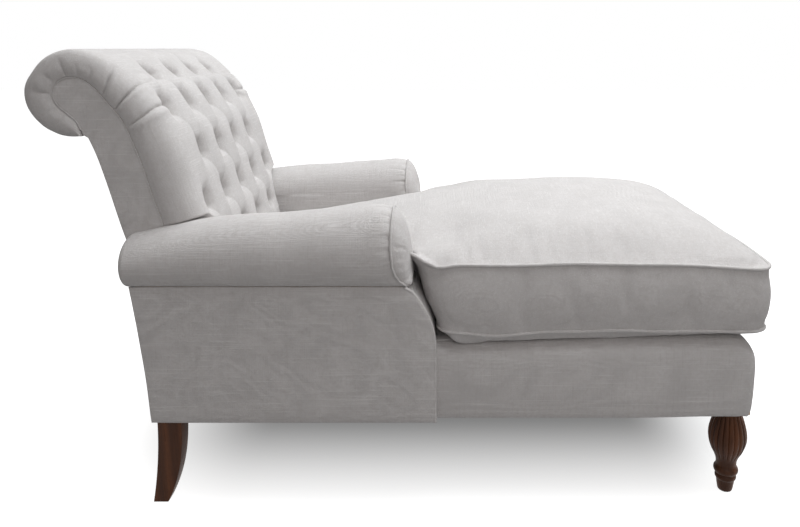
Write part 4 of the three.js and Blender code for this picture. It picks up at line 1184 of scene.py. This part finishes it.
def outside_back():
    """The outside of the back, which is wider below where the facings end."""
    def place(u, v):
        y, z = rear_edge.at(v).T
        low = 1 - smoothstep(z, FACING_FOOT, FACING_FOOT + 10)
        x = (u * 2 - 1) * (FACING_INNER - FIT + (BACK_HALF - FACING_INNER) * low)
        swell = 2.2 * (1 - (2 * u - 1) ** 4) * np.sin(np.pi * np.clip(v, 0.02, 0.98))
        return np.stack([x, y + swell * 0.5, z], -1)

    sheet = thickened(60, 90, place, OUTSIDE_CLOTH)
    piece("outside_back_cover", sheet, linen_across, nodes=["outside_back"])


# Cushion

def cushion_outline():
    """The T-shaped outline of the cushion, all the way round from the middle of the foot."""
    def arc(cx, cy, radius, start, end, steps):
        angle = np.linspace(start, end, steps)
        return np.stack([cx + radius * np.cos(angle), cy + radius * np.sin(angle)], -1)

    def bow(t):
        return SIDE_BOW * np.sin(np.pi * t)

    quarter = math.pi / 2
    foot_x, foot_y = BASE_HALF - FOOT_CORNER, CUSHION_FRONT + FOOT_CORNER
    ear_x, ear_y = BASE_HALF - EAR_CORNER, CUSHION_EAR - EAR_CORNER
    neck_x, neck_y = CUSHION_STEM + NECK_CORNER, CUSHION_EAR + NECK_CORNER
    stem_x, stem_y = CUSHION_STEM - STEM_CORNER, CUSHION_REAR - STEM_CORNER
    t = np.linspace(0, 1, 40)[:-1]
    foot = np.stack([t * foot_x, CUSHION_FRONT + bow(0.5 + t / 2)], -1)
    t = np.linspace(0, 1, 70)[1:-1]
    flank = np.stack([BASE_HALF - bow(t), foot_y + t * (ear_y - foot_y)], -1)
    shoulder = [(x, CUSHION_EAR) for x in np.linspace(CUSHION_STEM + 16, ear_x, 14)[::-1][1:]]
    stem = [(CUSHION_STEM, y) for y in np.linspace(neck_y, stem_y, 44)[1:-1]]
    rear = [(t * stem_x, CUSHION_REAR) for t in np.linspace(1, 0, 30)[1:]]
    side = np.vstack([
        foot,
        arc(foot_x, foot_y, FOOT_CORNER, -quarter, 0, 10),
        flank,
        arc(ear_x, ear_y, EAR_CORNER, 0, quarter, 8),
        shoulder,
        arc(neck_x, neck_y, NECK_CORNER, quarter * 3, quarter * 2, 5),
        stem,
        arc(stem_x, stem_y, STEM_CORNER, 0, quarter, 10),
        rear,
    ])
    return np.vstack([side, side[1:-1][::-1] * (-1, 1)])


def piping_height(x, y):
    """The height of the upper piping, pulled up at the right ear and falling to the back."""
    climb = smoothstep(y, CUSHION_EAR - 22, CUSHION_EAR - 3)
    fall = smoothstep(y, CUSHION_EAR, BACK_FOOT[0] - PAD_THICKNESS)
    rise = STEM_RISE * (0.05 + 0.95 * smoothstep(-x, 330, 370) - 0.3 * smoothstep(x, 240, 370))
    dip = EAR_DIP * hump(y - CUSHION_EAR + 20, 11) * smoothstep(-x, 300, 378)
    droop = FOOT_DROOP * smoothstep(-y, 470, 680) * smoothstep(np.abs(x), 200, 383)
    return PIPING_BOTTOM + BOXING + rise * climb - (STEM_FALL + rise) * fall - dip - droop


def lower_piping(x, y):
    """The height of the lower piping, which sags beside the arms."""
    return PIPING_BOTTOM - SOFT_SAG * hump(y + 135, 85) * np.abs(x / BASE_HALF) ** 4


def leaned(x, y, z):
    """The rear faces of the ears lean back towards their top, against the arms' fronts."""
    share = np.maximum((z - PIPING_BOTTOM) / BOXING, 0)
    shares, leans = zip(*EAR_LEAN_SHARES)
    near = smoothstep(y, CUSHION_EAR - 42, CUSHION_EAR) * smoothstep(np.abs(x), 150, 246)
    near = near * (1 - smoothstep(y, CUSHION_EAR + 2, CUSHION_EAR + 170))
    across = np.abs(x)
    inner = 1 - 0.4 * smoothstep(across, 335, 370) - 0.6 * smoothstep(across, 250, 290)
    lean = EAR_LEAN + INNER_LEAN * inner
    return y + near * lean * np.interp(share, shares, leans)


def from_edge(spots, outline):
    """How far points in plan lie from an outline."""
    nearest = np.full(len(spots), 1e9)
    for start, end in zip(outline, np.roll(outline, -1, 0)):
        along = end - start
        t = np.clip((spots - start) @ along / (along @ along), 0, 1)
        nearest = np.minimum(nearest, np.linalg.norm(spots - start - t[:, None] * along, axis=1))
    return nearest


def cushion_shape():
    """The cushion's cover, with its outline in plan and the headings away from it."""
    outline = cushion_outline()
    ahead = np.roll(outline, -1, 0) - np.roll(outline, 1, 0)
    ahead /= np.linalg.norm(ahead, axis=1, keepdims=True)
    away = np.stack([ahead[:, 1], -ahead[:, 0]], -1)
    count = len(outline)
    centre_y = BASE_FRONT / 5
    floor_cells, wall_cells, crown_cells = 26, 20, 60
    cells = floor_cells + wall_cells + crown_cells
    draw = np.random.RandomState(12)
    puckers = [(draw.uniform(0.02, 1), draw.uniform(1.0, 3.2)) for _ in range(PUCKERS)]
    puckers += [(place, 3.6) for place in CORNER_PUCKERS]

    def boxing_swell(u, wall, ear):
        """How far the boxing swells out between its puckers."""
        spots = np.stack([u * RIPPLE_RUN, wall * BOXING, u * 0], -1)
        held = np.where(ear, 0.5, 1)
        grow = (BOXING_SWELL + 1.6 * ripple(spots, 240, 23)) * held * np.sin(wall**0.9 * math.pi)
        for where, amount in puckers:
            line = (u - where) * PUCKER_RUN + 22 * (wall - 0.5) * math.sin(where * 40)
            grow -= amount * crease(line, 5) * np.sin(wall * math.pi) ** 0.5
        return grow

    def under_side(x, y, foot, inset):
        """The height of the under side, which rests on the deck and hangs at its edge."""
        inward = np.clip(inset / BELLY_TURN, 0, 1)
        lifted = smoothstep(y, -52, -4) * smoothstep(np.abs(x), 290, 350)
        belly = np.sqrt(1 - (1 - inward) ** 2) * (1 - 0.6 * lifted)
        rest = np.maximum(deck(y) + FIT, BELLY_LEVEL + BELLY_RISE * smoothstep(-y, 300, 640))
        hang = BELLY_HANG * np.sin(np.pi * np.clip(inset / HANG_REACH, 0, 1))
        hang = hang * (1 - smoothstep(-y, 380, 600)) * (1 - lifted)
        return foot - belly * (foot - rest) - hang

    def upper_side(x, y, inside, scale):
        """The height of the crown, which falls towards the back and the piping."""
        crown = CROWN + (STEM_CROWN - CROWN) * smoothstep(y, -330, 220)
        crown = crown * (1 - 0.14 * smoothstep(x, 120, 330) * hump(y + 190, 90))
        raised = np.zeros_like(x)
        edge = from_edge(np.stack([x, y], -1)[inside], outline)
        raised[inside] = 1 - (1 - np.minimum(edge / CROWN_REACH, 1)) ** 3.2
        fall_x = 1 - 0.45 * np.abs(x / BASE_HALF) ** 2.2
        fall_y = 1 - 0.42 * np.abs((y - centre_y) / BASE_FRONT) ** 2.4
        soft = 2.2 * ripple(np.stack([x, y, x * 0], -1), 260, 41) * smoothstep(1 - scale, 0, 0.15)
        return piping_height(x, y) + crown * fall_x * fall_y * raised + soft

    def place(u, v):
        i = np.rint(u * count).astype(int) % count
        edge_x, edge_y = outline[i].T
        step = np.rint(v * cells)
        low = np.clip(step / floor_cells, 0, 1)
        wall = np.clip((step - floor_cells) / wall_cells, 0, 1)
        top = np.clip((step - floor_cells - wall_cells) / crown_cells, 0, 1)
        scale = np.where(top > 0, np.cos(top * math.pi / 2), np.sin(low * math.pi / 2))
        grow = boxing_swell(u, wall, edge_y > CUSHION_EAR - 20)
        grow = np.where((top > 0) | (wall <= 0), 0, grow)
        x = (edge_x + away[i, 0] * grow) * scale
        y = centre_y + (edge_y + away[i, 1] * grow - centre_y) * scale
        foot = lower_piping(edge_x, edge_y)
        bottom = under_side(x, y, foot, (1 - scale) * BASE_HALF)
        side = foot + wall * (piping_height(edge_x, edge_y) - foot)
        upper = upper_side(x, y, np.flatnonzero(top > 0), scale)
        z = np.where(low < 1, bottom, np.where(top > 0, upper, side))
        return np.stack([x, leaned(x, y, z), z], -1)

    return laid(count, cells, place, tube=True), outline, away


def cushion():
    """The loose cushion, filled with air inside its two lines of piping."""
    bm, outline, away = cushion_shape()
    body = piece(
        "seat_cushion_cover", bm, linen_across, body="cushion", nodes=["seat_cushion"], crisp=80
    )
    parts, seams = [], []
    for level, height in enumerate((lower_piping, piping_height)):
        z = height(*outline.T)
        held = np.where(outline[:, 1] > CUSHION_EAR - 20, 0.3, 1.0)
        spot = outline + away * (1.8 * held)[:, None]
        y = leaned(spot[:, 0], spot[:, 1], z)
        wander = ripple(np.stack([spot[:, 0], y, z * 0], -1), 160, 6 + level) * 1.3
        path = np.stack([spot[:, 0], y, z + wander * held], -1)
        parts.append(cord_round(path, PIPING, closed=True))
        seams.extend(path)
    piece("seat_cushion_piping", joined(*parts), linen_along, body="cushion")
    filled(body, seams, cell=9.5, reach=5, air=4.0, slack=0.012)


# Legs

def front_leg():
    """A turned leg: reeds run down the bulb, with a collar and a tapered foot below."""
    profile = []
    for shares, steps in ((BULB_SHARES, 60), (COLLAR_SHARES, 80)):
        line = Line([(a * BULB_RADIUS, b * LEG_HEIGHT) for a, b in shares], 20)
        profile.extend(line.at(np.linspace(0, 1, steps)))
    bm = bmesh.new()
    spots = [bm.verts.new((r, 0, z)) for r, z in [(0, LEG_HEIGHT), *profile, (0, 0)]]
    edges = [bm.edges.new(ends) for ends in zip(spots, spots[1:])]
    bmesh.ops.spin(
        bm, geom=spots + edges, cent=(0, 0, 0), axis=(0, 0, 1), angle=2 * math.pi,
        steps=160, use_merge=True,
    )
    bmesh.ops.remove_doubles(bm, verts=bm.verts, dist=0.01)

    def carve(spots):
        level = spots[:, 2] / LEG_HEIGHT
        fade = smoothstep(level, 0.37, 0.43) * (1 - smoothstep(level, 0.885, 0.93))
        angle = np.arctan2(spots[:, 1], spots[:, 0])
        groove = 1 - np.abs(np.sin(angle * REEDS / 2)) ** 0.55
        factor = 1 - REED_DEPTH * groove * fade
        spots[:, 0] *= factor
        spots[:, 1] = spots[:, 1] * factor - LEG_TILT * (1 - level)
        return spots

    reshape(bm, carve)
    bmesh.ops.translate(bm, vec=(FRONT_LEG_X, FRONT_LEG_Y, 0), verts=bm.verts)
    pair("front_leg_turned", bm, walnut, ["front_leg"], slot="walnut", crisp=70)


def rear_leg():
    """A square leg that sweeps back to its heel."""
    bm = bmesh.new()
    bmesh.ops.create_cube(bm, size=1)
    upright = [e for e in bm.edges if abs(e.verts[0].co.z - e.verts[1].co.z) > 0.5]
    bmesh.ops.bevel(
        bm, geom=upright, offset=0.045, offset_type="OFFSET", segments=3, profile=0.5,
        affect="EDGES", material=-1,
    )
    for cut in np.linspace(-0.5, 0.5, 34)[1:-1]:
        everything = [*bm.verts, *bm.edges, *bm.faces]
        bmesh.ops.bisect_plane(bm, geom=everything, plane_co=(0, 0, cut), plane_no=(0, 0, 1))

    def sweep(spots):
        share = spots[:, 2] + 0.5
        fall = 1 - share
        place = REAR_LEG_BACK + HEEL_STEP * smoothstep(fall, 0.018, 0.04)
        front = place - REAR_LEG_DEPTH + FRONT_SWEEP * fall**2.6
        back = place + BACK_SWEEP * fall**1.9
        left = REAR_LEG_OUTER - REAR_LEG_WIDTH + REAR_LEG_TAPER * fall
        right = REAR_LEG_OUTER - REAR_LEG_TAPER * fall
        x = left + (spots[:, 0] + 0.5) * (right - left)
        y = front + (spots[:, 1] + 0.5) * (back - front)
        return np.stack([x, y, share * LEG_HEIGHT], -1)

    reshape(bm, sweep)
    pair("rear_leg_swept", bm, walnut, ["rear_leg"], slot="walnut", crisp=30)


def dress_frame():
    """Gives the solids that stay in sight their finishes."""
    finishes = (
        (beech_along, ("side_rail", "arm_side", "arm_top")),
        (beech_across, ("front_rail", "rear_rail", "middle_rail", "back_crest", "back_lower")),
        (beech_upright, ("front_corner", "rear_corner", "arm_post", "back_upright")),
        (zinc_plated, ("leg_bolt",)),
        (webbing_jute, ("seat_web", "back_web")),
        (lining_black, ("dust_cover",)),
    )
    for name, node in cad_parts.items():
        for finish, starts in finishes:
            if name.startswith(starts):
                node.data.materials.clear()
                node.data.materials.append(finish)


base_cover()
platform()
arm_roll()
arm_facing()
arm_panels()
back_cover()
back_buttons()
back_facings()
outside_back()
cushion()
front_leg()
rear_leg()
dress_frame()


# Studio, in metres

FLOOR_REACH = 14
# The floor's glow is dimmed under the chaise, which paints a shadow there on top of the real one:
# where that strip of painted shadow has its middle, and its half length
PAINTED_SHADOW_MIDDLE = -0.1
PAINTED_SHADOW_HALF_LENGTH = 0.45
# How fast the glow comes back across and along, out of the painted shadow, where it starts and
# where it is full
SPREAD_ACROSS = 3.0
SPREAD_ALONG = 3.2
GLOW_START = 0.2
GLOW_END = 1.22
# How much glow is left in the painted shadow under the chaise
GLOW_IN_PAINTED_SHADOW = 0.18
FLOOR_GREY = 0.36
EYE = (-1.706, -0.0675, 0.963)
LOOKS_DOWN = 10
LENS = 31.0
SHIFT_ASIDE = -0.0462
SHIFT_DOWN = -0.1175
WHITE = (1.0, 1.0, 1.0)


def seen_plainly(finish):
    """One for what the camera, a gloss or glass sees, and nothing for the light that it gives."""
    return sum(
        finish.node("ShaderNodeLightPath", output=ray)
        for ray in ("Is Camera Ray", "Is Glossy Ray", "Is Transmission Ray")
    )


def studio_floor():
    """A white floor, which keeps the real soft shadow under the chaise and glows away from it;
    under the chaise its glow is dimmed as well, a painted shadow on top of the real one.
    """
    bm = bmesh.new()
    bmesh.ops.create_grid(bm, x_segments=1, y_segments=1, size=FLOOR_REACH)
    mesh = bpy.data.meshes.new("studio_floor")
    bm.to_mesh(mesh)
    bm.free()
    floor = bpy.data.objects.new("studio_floor", mesh)
    bpy.context.scene.collection.objects.link(floor)
    f = Finish("floor_white_painted_shadow")
    across, along, _ = f.axes(f.place())
    away = f.node("ShaderNodeMath", {"operation": "ABSOLUTE"}, {0: along - PAINTED_SHADOW_MIDDLE})
    beyond = away.joined("MAXIMUM", away - PAINTED_SHADOW_HALF_LENGTH, 0.0)
    squares = (across * SPREAD_ACROSS) ** 2 + (beyond * SPREAD_ALONG) ** 2
    span = (squares + GLOW_START**2) ** 0.5
    # The glow is least under the chaise, where it paints a shadow over the real one
    glow = f.node(
        "ShaderNodeMapRange", {},
        {"Value": span, "From Min": GLOW_START, "From Max": GLOW_END, "To Min": GLOW_IN_PAINTED_SHADOW},
    )
    diffuse = f.node("ShaderNodeBsdfDiffuse", {}, {"Color": shade(WHITE, FLOOR_GREY)})
    strength = glow * seen_plainly(f)
    bright = f.node("ShaderNodeEmission", {}, {"Color": shade(WHITE), "Strength": strength})
    both = f.node("ShaderNodeAddShader", {}, {0: diffuse, 1: bright})
    f.node("ShaderNodeOutputMaterial", {}, {"Surface": both})
    mesh.materials.append(f.material)


def studio_world():
    """A soft, faintly warm light from all round, behind which the camera sees plain white."""
    world = bpy.data.worlds.new("studio")
    bpy.context.scene.world = world
    f = Finish("studio", world)
    soft, white = [
        f.node("ShaderNodeBackground", {}, {"Color": shade(colour), "Strength": strength})
        for colour, strength in (((1.0, 0.965, 0.955), 0.28), (WHITE, 1.0))
    ]
    mixed = f.node("ShaderNodeMixShader", {}, {0: seen_plainly(f), 1: soft, 2: white})
    f.node("ShaderNodeOutputWorld", {}, {"Surface": mixed})


def lamp(name, spot, target, size, power, colour):
    """A square or oblong lamp that shines on a target."""
    light = bpy.data.lights.new(name, "AREA")
    light.shape = "RECTANGLE"
    light.size, light.size_y = size
    light.energy = power
    light.color = colour
    made = bpy.data.objects.new(name, light)
    bpy.context.scene.collection.objects.link(made)
    made.location = spot
    heading = Vector(target) - Vector(spot)
    made.rotation_euler = heading.to_track_quat("-Z", "Y").to_euler()


def camera():
    """The camera of the photograph, level along its picture and a little above the object."""
    data = bpy.data.cameras.new("camera")
    data.sensor_width = 36
    data.lens = LENS
    data.shift_x, data.shift_y = SHIFT_ASIDE, SHIFT_DOWN
    made = bpy.data.objects.new("camera", data)
    bpy.context.scene.collection.objects.link(made)
    made.location = EYE
    made.rotation_euler = (math.radians(90 - LOOKS_DOWN), 0, math.radians(-90))
    bpy.context.scene.camera = made


studio_floor()
studio_world()
lamp(
    "overhead", spot=(0.3, -0.7, 2.85), target=(0.0, -0.1, 0.4), size=(3.0, 3.0), power=106,
    colour=(0.955, 0.985, 1.0),
)
lamp(
    "window", spot=(-2.7, -0.7, 1.9), target=(0.0, 0.0, 0.5), size=(2.0, 1.6), power=15,
    colour=(1.0, 0.965, 0.95),
)
camera()
bpy.context.scene.view_settings.view_transform = "Standard"
